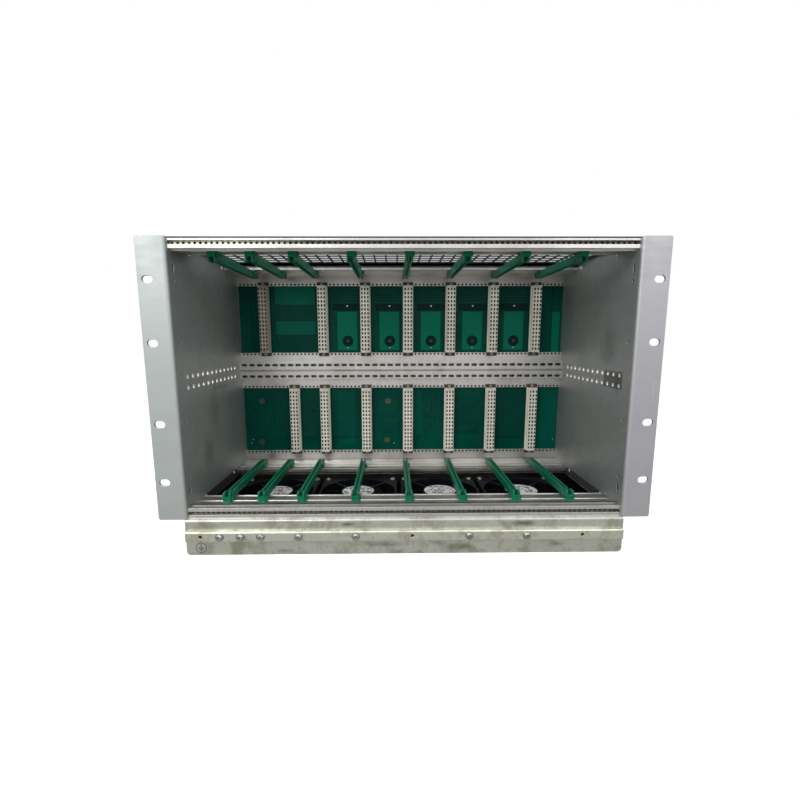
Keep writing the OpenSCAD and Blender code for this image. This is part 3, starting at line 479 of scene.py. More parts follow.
@dataclass(frozen=True)
class PlasticFinish(Finish):
    """A moulded plastic."""

    patch: Colour
    worn_and_lit: Colour
    roughness: float = 0.42
    specular: float = 0.4
    patch_scale: float = 60.0
    patch_share: float = 0.4
    edge_radius: float = 0.0004
    wear_and_highlight_share: float = 0.35
    dust_amount: float = 0.2
    dust_colour: Colour = (0.30, 0.29, 0.26)
    grit: float = 0.1
    grit_scale: float = 900.0
    grit_depth: float = 0.0003
    grit_rough: Pair = (-0.05, 0.08)
    dust_rough: float = 0.4

    def inputs(self, s: Surface, effects: Effects) -> dict[str, object]:
        """Gives the values and sockets of the Principled shader's inputs."""
        edge = s.effect(effects.wear_and_highlight, Radius=self.edge_radius)
        dust = s.effect(effects.dust, Amount=self.dust_amount)[0]
        # Edges take the lighter edge colour: partly rubbing, partly painted highlight.
        colour = s.blend(s.times(edge["Mask"], self.wear_and_highlight_share), self.colour(s, effects), self.worn_and_lit)
        grit = s.noise(s.place, self.grit_scale, 3.0)
        rough = s.spread(grit, 0.3, 0.7, *(self.roughness + more for more in self.grit_rough))
        return {
            "Base Color": s.blend(dust, colour, self.dust_colour),
            "Specular IOR Level": self.specular,
            "Roughness": s.calc("ADD", rough, s.times(dust, self.dust_rough), clamp=True),
            "Normal": s.bump(grit, self.grit, self.grit_depth, Normal=edge["Normal"]),
        }

    def colour(self, s: Surface, effects: Effects) -> Socket:
        """Gives the plastic's own colour before the lightened edges (rubbing and painted highlight) and dust.
        """
        patches = s.effect(effects.blotches, Scale=self.patch_scale)[0]
        return s.blend(s.times(patches, self.patch_share), self.base, self.patch)


@dataclass(frozen=True)
class ConnectorFinish(PlasticFinish):
    """The connectors' two-coloured moulding: pale between its dark ends, with painted shade, brown and dark,
    on the first upper connector.
    """

    end: Colour = (0.06, 0.05, 0.035)
    body_half: float = 43.0
    first_shade: Colour = (0.30, 0.235, 0.19)
    first_shade_share: float = 0.72
    first_shade_half: float = 8.0
    first_shade_depth: Pair = (160.0, 190.0)
    first_shade_height: Pair = (150.0, 250.0)

    def colour(self, s: Surface, effects: Effects) -> Socket:
        """Gives the body colour, the painted shade on the first upper connector and the dark ends."""
        # Painted shade: the first upper connector is made browner and darker.
        first = PLACES.connector_x(PLACES.upper_slots[0])
        width = (first - self.first_shade_half, first + self.first_shade_half)
        low, high = zip(width, self.first_shade_depth, self.first_shade_height)
        first_shaded = Zone(low, high, self.first_shade, self.first_shade_share)
        body = s.blend(s.effect(effects.inside, **first_shaded.inputs())[0], super().colour(s, effects), first_shaded.colour)
        height = s.add("ShaderNodeSeparateXYZ", {0: s.place}).outputs["Z"]
        tiers = [PLACES.point(0, 0, z).z for z in (PLACES.lower_tier, PLACES.upper_tier)]
        away = [s.calc("ABSOLUTE", s.calc("SUBTRACT", height, z)) for z in tiers]
        past = s.calc("GREATER_THAN", s.calc("MINIMUM", *away), self.body_half / MM)
        return s.blend(past, body, self.end)


@dataclass(frozen=True)
class BoardFinish(Finish):
    """A lacquered circuit board, with the copper's shade showing faintly through."""

    copper: Colour
    roughness: float = 0.2
    specular: float = 0.06
    shade_share: float = 0.6
    weave_scale: float = 1400.0
    weave_share: float = 0.18
    weave_shade: float = 0.6
    weave_bump: float = 0.05
    weave_depth: float = 0.0002
    smear_rough: float = 0.2
    dust_amount: float = 0.2
    dust_colour: Colour = (0.2, 0.25, 0.2)

    def inputs(self, s: Surface, effects: Effects) -> dict[str, object]:
        """Gives the values and sockets of the Principled shader's inputs."""
        cloud = s.effect(effects.blotches, Scale=9.0, Low=0.35, High=0.75)[0]
        smear = s.effect(effects.blotches, Scale=30.0)[0]
        dust = s.effect(effects.dust, Amount=self.dust_amount)[0]
        weave = s.noise(s.place, self.weave_scale, 2.0)
        colour = s.blend(s.times(cloud, self.shade_share), self.base, self.copper)
        threads = s.spread(weave, 0.4, 0.7, 0.0, self.weave_share)
        colour = s.blend(threads, colour, tuple(c * self.weave_shade for c in self.base))
        return {
            "Base Color": s.blend(dust, colour, self.dust_colour),
            "Specular IOR Level": self.specular,
            "Roughness": s.spread(smear, 0.0, 1.0, self.roughness, self.roughness + self.smear_rough),
            "Normal": s.bump(weave, self.weave_bump, self.weave_depth),
        }


class FinishSet:
    """Every finish of the cage, built once."""

    def __init__(self, effects: Effects) -> None:
        """Builds the materials."""
        self.panel = MetalFinish(
            "panel_aluminium", base=(0.45, 0.465, 0.465), patch=(0.33, 0.36, 0.36), worn_and_lit=(0.75, 0.76, 0.76),
            grain=Grain.ROLLED, grain_share=0.24, roughness=0.46, metallic=0.72, patch_share=0.75,
            zones=(
                Zone((-216.4, 5, -1), (-214.1, 240, 267), (0.88, 0.88, 0.86)),
                Zone((214.1, 5, -1), (216.4, 240, 267), (0.80, 0.80, 0.78)),
                # Painted shade: the lower inner faces of both panels darkened near the tray.
                Zone((-214.2, 46, -1), (-213.8, 170, 9.5), (0.02, 0.024, 0.028), 0.8),
                Zone((213.8, 30, -1), (214.2, 160, 9.5), (0.03, 0.034, 0.038), 0.7),
                Zone((-242, -1, -1), (-215.2, 2.2, 267), (0.52, 0.565, 0.545), 0.6),
                Zone((215.2, -1, -1), (242, 2.2, 267), (0.51, 0.485, 0.535), 0.6),
                # Painted shade where the right panel meets the mid rail's end.
                Zone((213.8, 18, 124.4), (214.4, 56, 141.4), (0.075, 0.078, 0.08), 0.6),
            ),
            spots=(
                SoftSpot(-214, 62, 52, 16, 26, 0.45),
                SoftSpot(-214, 84, 96, 20, 30, 0.25),
                SoftSpot(214, 50, 165, 22, 26, 0.35),
                # Painted shade: the six spots below darken the right panel round the mid rail's end.
                SoftSpot(214, 26, 130, 10, 14, 0.4),
                SoftSpot(214, 24, 138.3, 6, 5, 0.9),
                SoftSpot(214, 36, 138.3, 6, 5, 0.85),
                SoftSpot(214, 48, 138.3, 5, 4, 0.7),
                SoftSpot(214, 24, 127.6, 6, 5, 0.85),
                SoftSpot(214, 36, 127.6, 5, 4, 0.7),
                SoftSpot(-214, 120, 120, 60, 5, 0.3),
                # Painted shade: the left panel darker towards the top rail.
                SoftSpot(-214, 30, 255, 40, 14, 0.35),
            ),
        ).build(effects)
        self.rail = MetalFinish(
            "rail_aluminium", base=(0.66, 0.645, 0.62), patch=(0.50, 0.455, 0.44), worn_and_lit=(0.92, 0.92, 0.90),
            grain=Grain.ACROSS, roughness=0.34, patch_scale=26.0, patch_share=0.7,
            zones=(
                # Painted shade: dark bands in the rear mid rail's recesses, under the upper rear rail's lip,
                # on the front lower rail's upper face, and along the lower rear rail's ridges and fillet.
                Zone((-215, 175.3, 123.8), (215, 181.0, 131.0), (0.03, 0.028, 0.025), 0.85),
                Zone((-215, 175.3, 134.9), (215, 181.0, 142.1), (0.03, 0.028, 0.025), 0.85),
                Zone((-215, 139.5, 259.8), (215, 141.5, 267.0), (0.018, 0.024, 0.028), 0.9),
                Zone((-215, 6.9, 9.9), (215, 16.6, 12.0), (0.16, 0.165, 0.155), 0.7),
                Zone((-215, 166.2, 8.0), (215, 168.6, 10.4), (0.05, 0.05, 0.045), 0.7),
                Zone((-215, 145.2, 8.0), (215, 147.8, 8.7), (0.05, 0.05, 0.045), 0.75),
                Zone((-215, 172.0, 10.4), (215, 180.6, 11.3), (0.12, 0.12, 0.11), 0.6),
            ),
        ).build(effects)
        self.strip = MetalFinish(
            "strip_steel", base=(0.16, 0.155, 0.14), patch=(0.07, 0.065, 0.055), worn_and_lit=(0.4, 0.4, 0.36),
            grain=Grain.ACROSS, roughness=0.45, patch_scale=40.0, spot_colour=(0.80, 0.86, 0.62),
            spots=(SoftSpot(-165, 8, 261, 40, 30, 0.9, 78.0),),
        ).build(effects)
        boards = {
            "board_lacquer": ((0.0008, 0.054, 0.038), (0.001, 0.115, 0.076)),
            "board_copper_area": ((0.001, 0.165, 0.095), (0.002, 0.205, 0.120)),
            "board_mid_area": ((0.001, 0.120, 0.076), (0.001, 0.185, 0.115)),
            "board_dark_area": ((0.0005, 0.022, 0.018), (0.001, 0.034, 0.024)),
            "board_soft_area": ((0.001, 0.070, 0.048), (0.001, 0.135, 0.088)),
        }
        self.board, self.copper_area, self.mid_area, self.dark_area, self.soft_area = (
            BoardFinish(name, base, copper).build(effects) for name, (base, copper) in boards.items()
        )
        self.pad = MetalFinish(
            "board_pad", base=(0.085, 0.090, 0.052), patch=(0.035, 0.045, 0.026), worn_and_lit=(0.2, 0.2, 0.14),
            grain=Grain.ROLLED, roughness=0.5, patch_scale=250.0, metallic=0.6,
        ).build(effects)
        self.connector = ConnectorFinish(
            "connector_moulding", base=(0.90, 0.87, 0.76), patch=(0.68, 0.62, 0.50),
            worn_and_lit=(0.95, 0.93, 0.86), roughness=0.5, patch_share=0.5, dust_amount=0.1,
        ).build(effects)
        # Painted shade: the flat dark colour of the connector openings and of the flange holes.
        self.hole_shade = MetalFinish(
            "painted_hole_shade", base=(0.012, 0.010, 0.008), patch=(0.004, 0.004, 0.003),
            worn_and_lit=(0.03, 0.025, 0.02), grain=Grain.UPRIGHT, roughness=0.7, metallic=0.0, patch_scale=300.0,
            wear_and_highlight_share=0.2, dust_amount=0.0,
        ).build(effects)
        # The bright green that the edge mask gives the guides is mostly painted highlight.
        self.guide = PlasticFinish(
            "guide_moulding", base=(0.002, 0.175, 0.092), patch=(0.012, 0.085, 0.05),
            worn_and_lit=(0.10, 0.55, 0.36), wear_and_highlight_share=0.75, roughness=0.34, specular=0.2, patch_scale=90.0,
            dust_amount=0.05,
        ).build(effects)
        self.cover = MetalFinish(
            "cover_sheet", base=(0.075, 0.08, 0.085), patch=(0.05, 0.052, 0.055), worn_and_lit=(0.22, 0.23, 0.23),
            grain=Grain.ACROSS, roughness=0.5, patch_share=0.4,
        ).build(effects)
        self.tray = MetalFinish(
            "tray_zinc", base=(0.64, 0.655, 0.585), patch=(0.37, 0.365, 0.285), worn_and_lit=(0.86, 0.87, 0.83),
            grain=Grain.ROLLED, roughness=0.40, patch_scale=52.0, patch_share=1.0, grain_share=0.1,
            edge_radius=0.0010, wear_and_highlight_share=0.35,
            zones=(
                Zone((-215.4, 0.75, -36.2), (215.4, 148.2, -0.75), (0.012, 0.013, 0.016), 0.93),
                Zone((-215.4, -1.0, -2.2), (215.4, 0.6, 0.6), (0.44, 0.45, 0.42), 0.55),
            ),
            spots=(
                SoftSpot(-57, 0, -6, 5, 3, 0.7, 9.0),
                SoftSpot(118, 0, -6, 5, 4, 0.7, 16.0),
                SoftSpot(-118, 0, -33, 5, 3, 0.5, 12.0),
                SoftSpot(52, 0, -30, 5, 5, 0.45, 22.0),
                SoftSpot(150, 0, -28, 5, 4, 0.5, 12.0),
                SoftSpot(-20, 0, -27, 5, 3, 0.4, 30.0),
            ),
        ).build(effects)
        self.bar = MetalFinish(
            "bar_zinc", base=(0.76, 0.765, 0.68), patch=(0.48, 0.475, 0.37), worn_and_lit=(0.97, 0.97, 0.94),
            grain=Grain.ACROSS, roughness=0.36, patch_scale=56.0, patch_share=1.0, edge_radius=0.0010,
            wear_and_highlight_share=0.4,
        ).build(effects)
        self.screw = MetalFinish(
            "screw_zinc", base=(0.40, 0.40, 0.38), patch=(0.12, 0.12, 0.11), worn_and_lit=(0.80, 0.80, 0.77),
            grain=Grain.ROLLED, roughness=0.3, patch_scale=200.0,
        ).build(effects)
        self.fan_frame = PlasticFinish(
            "fan_frame_black", base=(0.004, 0.005, 0.009), patch=(0.007, 0.008, 0.013),
            worn_and_lit=(0.02, 0.022, 0.03), roughness=0.5, specular=0.1, dust_amount=0.05,
        ).build(effects)
        self.fan_rotor = PlasticFinish(
            "fan_rotor_black", base=(0.006, 0.006, 0.009), patch=(0.009, 0.009, 0.012),
            worn_and_lit=(0.02, 0.02, 0.03), roughness=0.45, specular=0.1, dust_amount=0.05,
        ).build(effects)
        self.plate = PlasticFinish(
            "fan_plate_pale", base=(0.92, 0.92, 0.90), patch=(0.80, 0.80, 0.77), worn_and_lit=(0.95, 0.95, 0.93),
            roughness=0.45, patch_scale=120.0, dust_amount=0.25,
        ).build(effects)
        # Dark print on the fans' plates, and painted shade in the panels' holes and the upper board's holes.
        self.print_and_hole_shade = PlasticFinish(
            "dark_print_and_hole_shade", base=(0.02, 0.021, 0.023), patch=(0.05, 0.05, 0.05), worn_and_lit=(0.1, 0.1, 0.1),
            roughness=0.6, patch_scale=400.0, dust_amount=0.1,
        ).build(effects)
        self.mark = PlasticFinish(
            "worn_print", base=(0.085, 0.09, 0.085), patch=(0.20, 0.21, 0.19), worn_and_lit=(0.2, 0.2, 0.19),
            roughness=0.5, patch_scale=500.0, dust_amount=0.1,
        ).build(effects)
        self.pin = MetalFinish(
            "pin_tin", base=(0.55, 0.53, 0.48), patch=(0.35, 0.33, 0.28), worn_and_lit=(0.8, 0.8, 0.76),
            grain=Grain.TO_BACK, roughness=0.35, patch_scale=300.0,
        ).build(effects)


# ---------------------------------------------------------------- meshes


def circle(radius: float, sides: int) -> list[Pair]:
    """Gives the corners of a circle round zero."""
    turns = [2 * math.pi * i / sides for i in range(sides)]
    return [(radius * math.cos(t), radius * math.sin(t)) for t in turns]


def add_object(name: str, data: bpy.types.ID) -> Piece:
    """Puts an object with a mesh, lamp or camera into the scene."""
    obj = bpy.data.objects.new(name, data)
    bpy.context.scene.collection.objects.link(obj)
    return obj


def place_piece(name: str, mesh: bpy.types.Mesh, body: str) -> Piece:
    """Makes a piece of a mesh and lets it ride on a body.

    Args:
        name: the piece's name.
        mesh: its shape.
        body: the CAD body's name.

    Returns:
        The finished object.
    """
    piece = add_object(name, mesh)
    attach(piece, body)
    LOG.info("%s: %d faces", name, len(mesh.polygons))
    return piece


class SheetBuilder:
    """Collects flat shapes that lie on upright or level faces, and makes one mesh of them."""

    def __init__(self, name: str) -> None:
        """Starts an empty mesh."""
        self.name = name
        self.bm = bmesh.new()
        self.materials: list[Material] = []

    def _index(self, material: Material) -> int:
        """Gives the slot of a material, adding it if it is new."""
        if material not in self.materials:
            self.materials.append(material)
        return self.materials.index(material)

    def prism(self, outline: list[Vector], lift: Vector, material: Material) -> None:
        """Adds a closed prism.

        Args:
            outline: corners of the base in metres, in order.
            lift: vector from the base to the top.
            material: finish of all its faces.
        """
        slot = self._index(material)
        low = [self.bm.verts.new(p) for p in outline]
        high = [self.bm.verts.new(p + lift) for p in outline]
        faces = [self.bm.faces.new(low[::-1]), self.bm.faces.new(high)]
        for i in range(len(outline)):
            j = (i + 1) % len(outline)
            faces.append(self.bm.faces.new((low[i], low[j], high[j], high[i])))
        for face in faces:
            face.material_index = slot

    def ring(self, outer: list[Vector], inner: list[Vector], lift: Vector, material: Material) -> None:
        """Adds a closed ring.

        Args:
            outer: corners of the outer rim in metres, in order.
            inner: as many corners of the inner rim.
            lift: vector from the base to the top.
            material: finish of all its faces.
        """
        slot = self._index(material)
        loops = [[self.bm.verts.new(p) for p in line] for line in (outer, inner)]
        tops = [[self.bm.verts.new(p + lift) for p in line] for line in (outer, inner)]
        for i in range(len(outer)):
            j = (i + 1) % len(outer)
            quads = (
                (loops[0][i], loops[0][j], tops[0][j], tops[0][i]),
                (loops[1][j], loops[1][i], tops[1][i], tops[1][j]),
                (tops[0][i], tops[0][j], tops[1][j], tops[1][i]),
                (loops[0][j], loops[0][i], loops[1][i], loops[1][j]),
            )
            for quad in quads:
                self.bm.faces.new(quad).material_index = slot

    def finish(self, body: str) -> Piece:
        """Makes the piece with its finishes, riding on a CAD body."""
        bmesh.ops.recalc_face_normals(self.bm, faces=self.bm.faces[:])
        mesh = bpy.data.meshes.new(self.name)
        self.bm.to_mesh(mesh)
        self.bm.free()
        for material in self.materials:
            mesh.materials.append(material)
        return place_piece(self.name, mesh, body)


SMALL_SIDES = 14
DISC_SIDES = 28
RING_SIDES = 36


@dataclass(frozen=True)
class Coat:
    """How far a flat shape stands proud of its face, in millimetres, and its finish."""

    proud: float
    material: Material


@dataclass
class UprightFace:
    """Draws on an upright face that looks to the front, at a given depth in millimetres."""

    sheet: SheetBuilder
    depth: float

    def box(self, x0: float, z0: float, x1: float, z1: float, coat: Coat) -> None:
        """Adds a rectangle from one corner to the other."""
        corners = [PLACES.point(x, self.depth, z) for x, z in ((x0, z0), (x1, z0), (x1, z1), (x0, z1))]
        self.sheet.prism(corners, self._lift(coat), coat.material)

    def line(self, points: list[Pair], width: float, coat: Coat) -> None:
        """Adds a line of straight stretches along X or Z."""
        half = width / 2
        for (xa, za), (xb, zb) in zip(points, points[1:]):
            low, high = (min(xa, xb) - half, min(za, zb) - half), (max(xa, xb) + half, max(za, zb) + half)
            self.box(*low, *high, coat)

    def level(self, x0: float, x1: float, z: float, width: float, coat: Coat) -> None:
        """Adds one line along X."""
        self.line([(x0, z), (x1, z)], width, coat)

    def upright(self, x: float, z0: float, z1: float, width: float, coat: Coat) -> None:
        """Adds one line along Z."""
        self.line([(x, z0), (x, z1)], width, coat)

    def frame(self, x0: float, z0: float, x1: float, z1: float, width: float, coat: Coat) -> None:
        """Adds a rectangle's outline."""
        self.line([(x0, z0), (x1, z0), (x1, z1), (x0, z1), (x0, z0)], width, coat)

    def disc(self, x: float, z: float, radius: float, coat: Coat, sides: int = DISC_SIDES) -> None:
        """Adds a round spot."""
        self.sheet.prism(self._circle(x, z, radius, sides), self._lift(coat), coat.material)

    def ring(self, x: float, z: float, outer: float, inner: float, coat: Coat) -> None:
        """Adds a round ring."""
        rims = [self._circle(x, z, radius, RING_SIDES) for radius in (outer, inner)]
        self.sheet.ring(*rims, self._lift(coat), coat.material)

    def _lift(self, coat: Coat) -> Vector:
        """Gives the way from the face to a shape's front, in metres."""
        return Vector((0, -coat.proud / MM, 0))

    def _circle(self, x: float, z: float, radius: float, sides: int) -> list[Vector]:
        """Gives the corners of a circle on the face."""
        return [PLACES.point(x + a, self.depth, z + b) for a, b in circle(radius, sides)]


# ---------------------------------------------------------------- sub-assemblies


@dataclass
class CadFinishes:
    """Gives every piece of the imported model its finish."""

    finishes: FinishSet

    def material_for(self, node: str) -> Material:
        """Chooses the finish of a node by its name.

        Args:
            node: the CAD node's name.

        Returns:
            The finish's material.
        """
        f = self.finishes
        kinds = {
            "side_panel": f.panel,
            "front_rail": f.rail,
            "rear_rail": f.rail,
            "mid_rail": f.rail,
            "threaded_strip": f.strip,
            "backplane": f.board,
            "connector_screws": f.screw,
            "connector": f.connector,
            "card_guide": f.guide,
            "top_cover": f.cover,
            "fan_tray": f.tray,
            "earth_bar": f.bar,
            "fan_housing": f.fan_frame,
            "fan_rotor": f.fan_rotor,
        }
        return next((material for start, material in kinds.items() if node.startswith(start)), f.screw)

    def dress(self, nodes: dict[str, Piece]) -> None:
        """Puts the finishes on the CAD objects."""
        for name, obj in nodes.items():
            material = self.material_for(name)
            if obj.data.materials:
                for i in range(len(obj.data.materials)):
                    obj.data.materials[i] = material
            else:
                obj.data.materials.append(material)
            LOG.info("%s: %s", name, material.name)


@dataclass
class RepeatField:
    """A rectangular field of small blocks round each of several places, made by Geometry Nodes."""

    name: str
    columns: int
    rows: int
    pitch: Pair
    block: Triple
    places: list[Vector]
    sides: int = 4

    def tree(self) -> Tree:
        """Builds the tree: a grid of blocks on every vertex of the base mesh.

        Returns:
            The geometry node tree.
        """
        tree = bpy.data.node_groups.new(self.name + "_field", "GeometryNodeTree")
        sockets = tree.interface
        kinds = {
            "Geometry": "Geometry",
            "Columns": "Int",
            "Rows": "Int",
            "Pitch X": "Float",
            "Pitch Z": "Float",
            "Block": "Vector",
            "Finish": "Material",
        }
        for key, kind in kinds.items():
            sockets.new_socket(name=key, in_out="INPUT", socket_type="NodeSocket" + kind)
        sockets.new_socket(name="Geometry", in_out="OUTPUT", socket_type="NodeSocketGeometry")
        g = Graph(tree)
        given = g.add("NodeGroupInput").outputs
        end = g.add("NodeGroupOutput").inputs
        span_x = g.times(g.calc("SUBTRACT", given["Columns"], 1.0), given["Pitch X"])
        span_z = g.times(g.calc("SUBTRACT", given["Rows"], 1.0), given["Pitch Z"])
        counts = {"Vertices X": given["Columns"], "Vertices Y": given["Rows"]}
        grid = g.out("GeometryNodeMeshGrid", {"Size X": span_x, "Size Y": span_z, **counts})
        points = self._copies(g, given["Geometry"], self._upright(g, grid))
        blocks = self._copies(g, points, self._shape(g, given["Block"]))
        values = {"Geometry": blocks, "Material": given["Finish"]}
        g.put(end["Geometry"], g.out("GeometryNodeSetMaterial", values))
        return tree

    def _copies(self, g: Graph, points: Socket, shape: Socket) -> Socket:
        """Puts a real copy of a shape on every point."""
        copies = g.out("GeometryNodeInstanceOnPoints", {"Points": points, "Instance": shape})
        return g.out("GeometryNodeRealizeInstances", {"Geometry": copies})

    def _upright(self, g: Graph, shape: Socket) -> Socket:
        """Turns a level shape upright."""
        return g.out("GeometryNodeTransform", {"Geometry": shape, "Rotation": (math.pi / 2, 0.0, 0.0)})

    def _shape(self, g: Graph, size: Socket) -> Socket:
        """Adds the repeated shape: a block, or a short cylinder when it has more than four sides.

        Args:
            g: the tree's graph.
            size: the block's size.

        Returns:
            The shape's geometry output.
        """
        if self.sides == 4:
            return g.out("GeometryNodeMeshCube", {"Size": size})
        sizes = g.add("ShaderNodeSeparateXYZ", {0: size}).outputs
        values = {"Vertices": self.sides, "Radius": g.times(sizes["X"], 0.5), "Depth": sizes["Y"]}
        return self._upright(g, g.out("GeometryNodeMeshCylinder", values))

    def build(self, body: str, slot: str, material: Material) -> Piece:
        """Makes the field's plain mesh and lets it ride on a body.

        Args:
            body: the CAD body that it rides on.
            slot: not used.
            material: finish of the blocks.

        Returns:
            The finished object.
        """
        base = bpy.data.meshes.new(self.name + "_points")
        base.from_pydata([tuple(p) for p in self.places], [], [])
        carrier = add_object(self.name + "_carrier", base)
        modifier = carrier.modifiers.new("field", "NODES")
        modifier.node_group = self.tree()
        values = {
            "Columns": self.columns,
            "Rows": self.rows,
            "Pitch X": self.pitch[0] / MM,
            "Pitch Z": self.pitch[1] / MM,
            "Block": tuple(v / MM for v in self.block),
            "Finish": material,
        }
        for item in modifier.node_group.interface.items_tree:
            if item.in_out == "INPUT" and item.name in values:
                modifier[item.identifier] = values[item.name]
        bpy.context.view_layer.update()
        graph = bpy.context.evaluated_depsgraph_get()
        mesh = bpy.data.meshes.new_from_object(carrier.evaluated_get(graph), depsgraph=graph)
        mesh.name = self.name
        if not any(mesh.materials):
            mesh.materials.clear()
            mesh.materials.append(material)
        bpy.data.objects.remove(carrier)
        return place_piece(self.name, mesh, body)


@dataclass
class Contacts:
    """The connector openings as painted shade, the lining of their grooves, and the pins behind."""

    finishes: FinishSet
    columns: int = 3
    rows: int = 16
    spacing: Pair = (3.8, 5.08)
    mouth: Triple = (1.95, 0.06, 3.0)
    mouth_sunk: float = 0.01
    groove_pitch: float = 2.54
    lining: Triple = (1.48, 1.17, 75.5)
    lining_sunk: float = 0.02
    pin_pitch: Pair = (2.54, 5.08)
    pin: Triple = (0.6, 3.2, 0.6)
    pin_sunk: float = 0.2

    def build(self) -> None:
        """Makes the lining, the openings and the pins of both tiers."""
        f = self.finishes
        face = PLACES.connector_face
        lining_depth = face + self.lining_sunk + self.lining[1] / 2
        mouth_depth = face - self.mouth[1] / 2 + self.mouth_sunk
        pin_depth = PLACES.board_back + self.pin[1] / 2 - self.pin_sunk
        kinds = (
            ("lining", 1, (self.groove_pitch, 1.0), self.lining, lining_depth, "connector", f.connector),
            ("mouths", self.rows, self.spacing, self.mouth, mouth_depth, "connector", f.hole_shade),
            ("pins", self.rows, self.pin_pitch, self.pin, pin_depth, "screw", f.pin),
        )
        tiers = (
            ("lower", PLACES.lower_slots, PLACES.lower_tier),
            ("upper", PLACES.upper_slots, PLACES.upper_tier),
        )
        for tier, slots, z in tiers:
            for kind, rows, pitch, block, depth, slot, material in kinds:
                places = [PLACES.point(PLACES.connector_x(s), depth, z) for s in slots]
                fields = RepeatField(f"contact_{kind}_{tier}", self.columns, rows, pitch, block, places)
                fields.build("cage", slot, material)


@dataclass
class FlangeShades:
    """Painted shade: dark discs over the small holes in the rails' upright flanges."""

    finishes: FinishSet
    holes: int = 84
    flange_front: float = 180.0
    heights: tuple[float, ...] = (21.275, 111.275, 154.625, 244.625)
    mouth: Triple = (2.7, 0.3, 2.7)
    proud: float = 0.03
    sides: int = 12

    def build(self) -> None:
        """Makes the mouths of all four rows as one piece."""
        middle = PLACES.connector_x(-0.5)
        depth = self.flange_front - self.proud + self.mouth[1] / 2
        rows = [PLACES.point(middle, depth, z) for z in self.heights]
        pitch = (PLACES.pitch, 1.0)
        mouths = RepeatField("flange_hole_mouths", self.holes, 1, pitch, self.mouth, rows, self.sides)
        mouths.build("cage", "rail", self.finishes.hole_shade)


@dataclass
class PanelHoleShadeFill:
    """Painted shade: dark fillers that close the side panels' small front holes and upright slots."""

    finishes: FinishSet
    wall: float = 214.0
    depth: float = 11.6
    middle: float = 132.95
    radius: float = 1.47
    hole_heights: tuple[float, ...] = (-95.25, -38.1, 38.1, 95.25)
    slot_heights: tuple[float, ...] = (-106.75, 106.75)
    slot_reach: float = 2.48
    inset: float = 0.3
    thickness: float = 1.8
    sides: int = 20

    def build(self) -> None:
        """Makes the painted shade of both panels' holes as one piece."""
        sheet = SheetBuilder("panel_hole_shade_fill")
        shaded_holes = [(height, 0.0) for height in self.hole_heights]
        shaded_holes += [(height, self.slot_reach) for height in self.slot_heights]
        for side in (-1, 1):
            lift = Vector((side * self.thickness / MM, 0, 0))
            for height, reach in shaded_holes:
                outline = self._outline(side * (self.wall + self.inset), self.middle + height, reach)
                sheet.prism(outline, lift, self.finishes.print_and_hole_shade)
        sheet.finish("cage")

    def _outline(self, x: float, z: float, reach: float) -> list[Vector]:
        """Gives the outline of one patch of painted shade, with round ends.

        Args:
            x: the panel's face.
            z: height of the plug's middle.
            reach: distance from the middle to the centre of each round end.

        Returns:
            The corners in metres.
        """
        points = []
        for along, up in circle(self.radius, self.sides):
            shift = reach if up >= 0 else -reach
            points.append(PLACES.point(x, self.depth + along, z + shift + up))
        return points


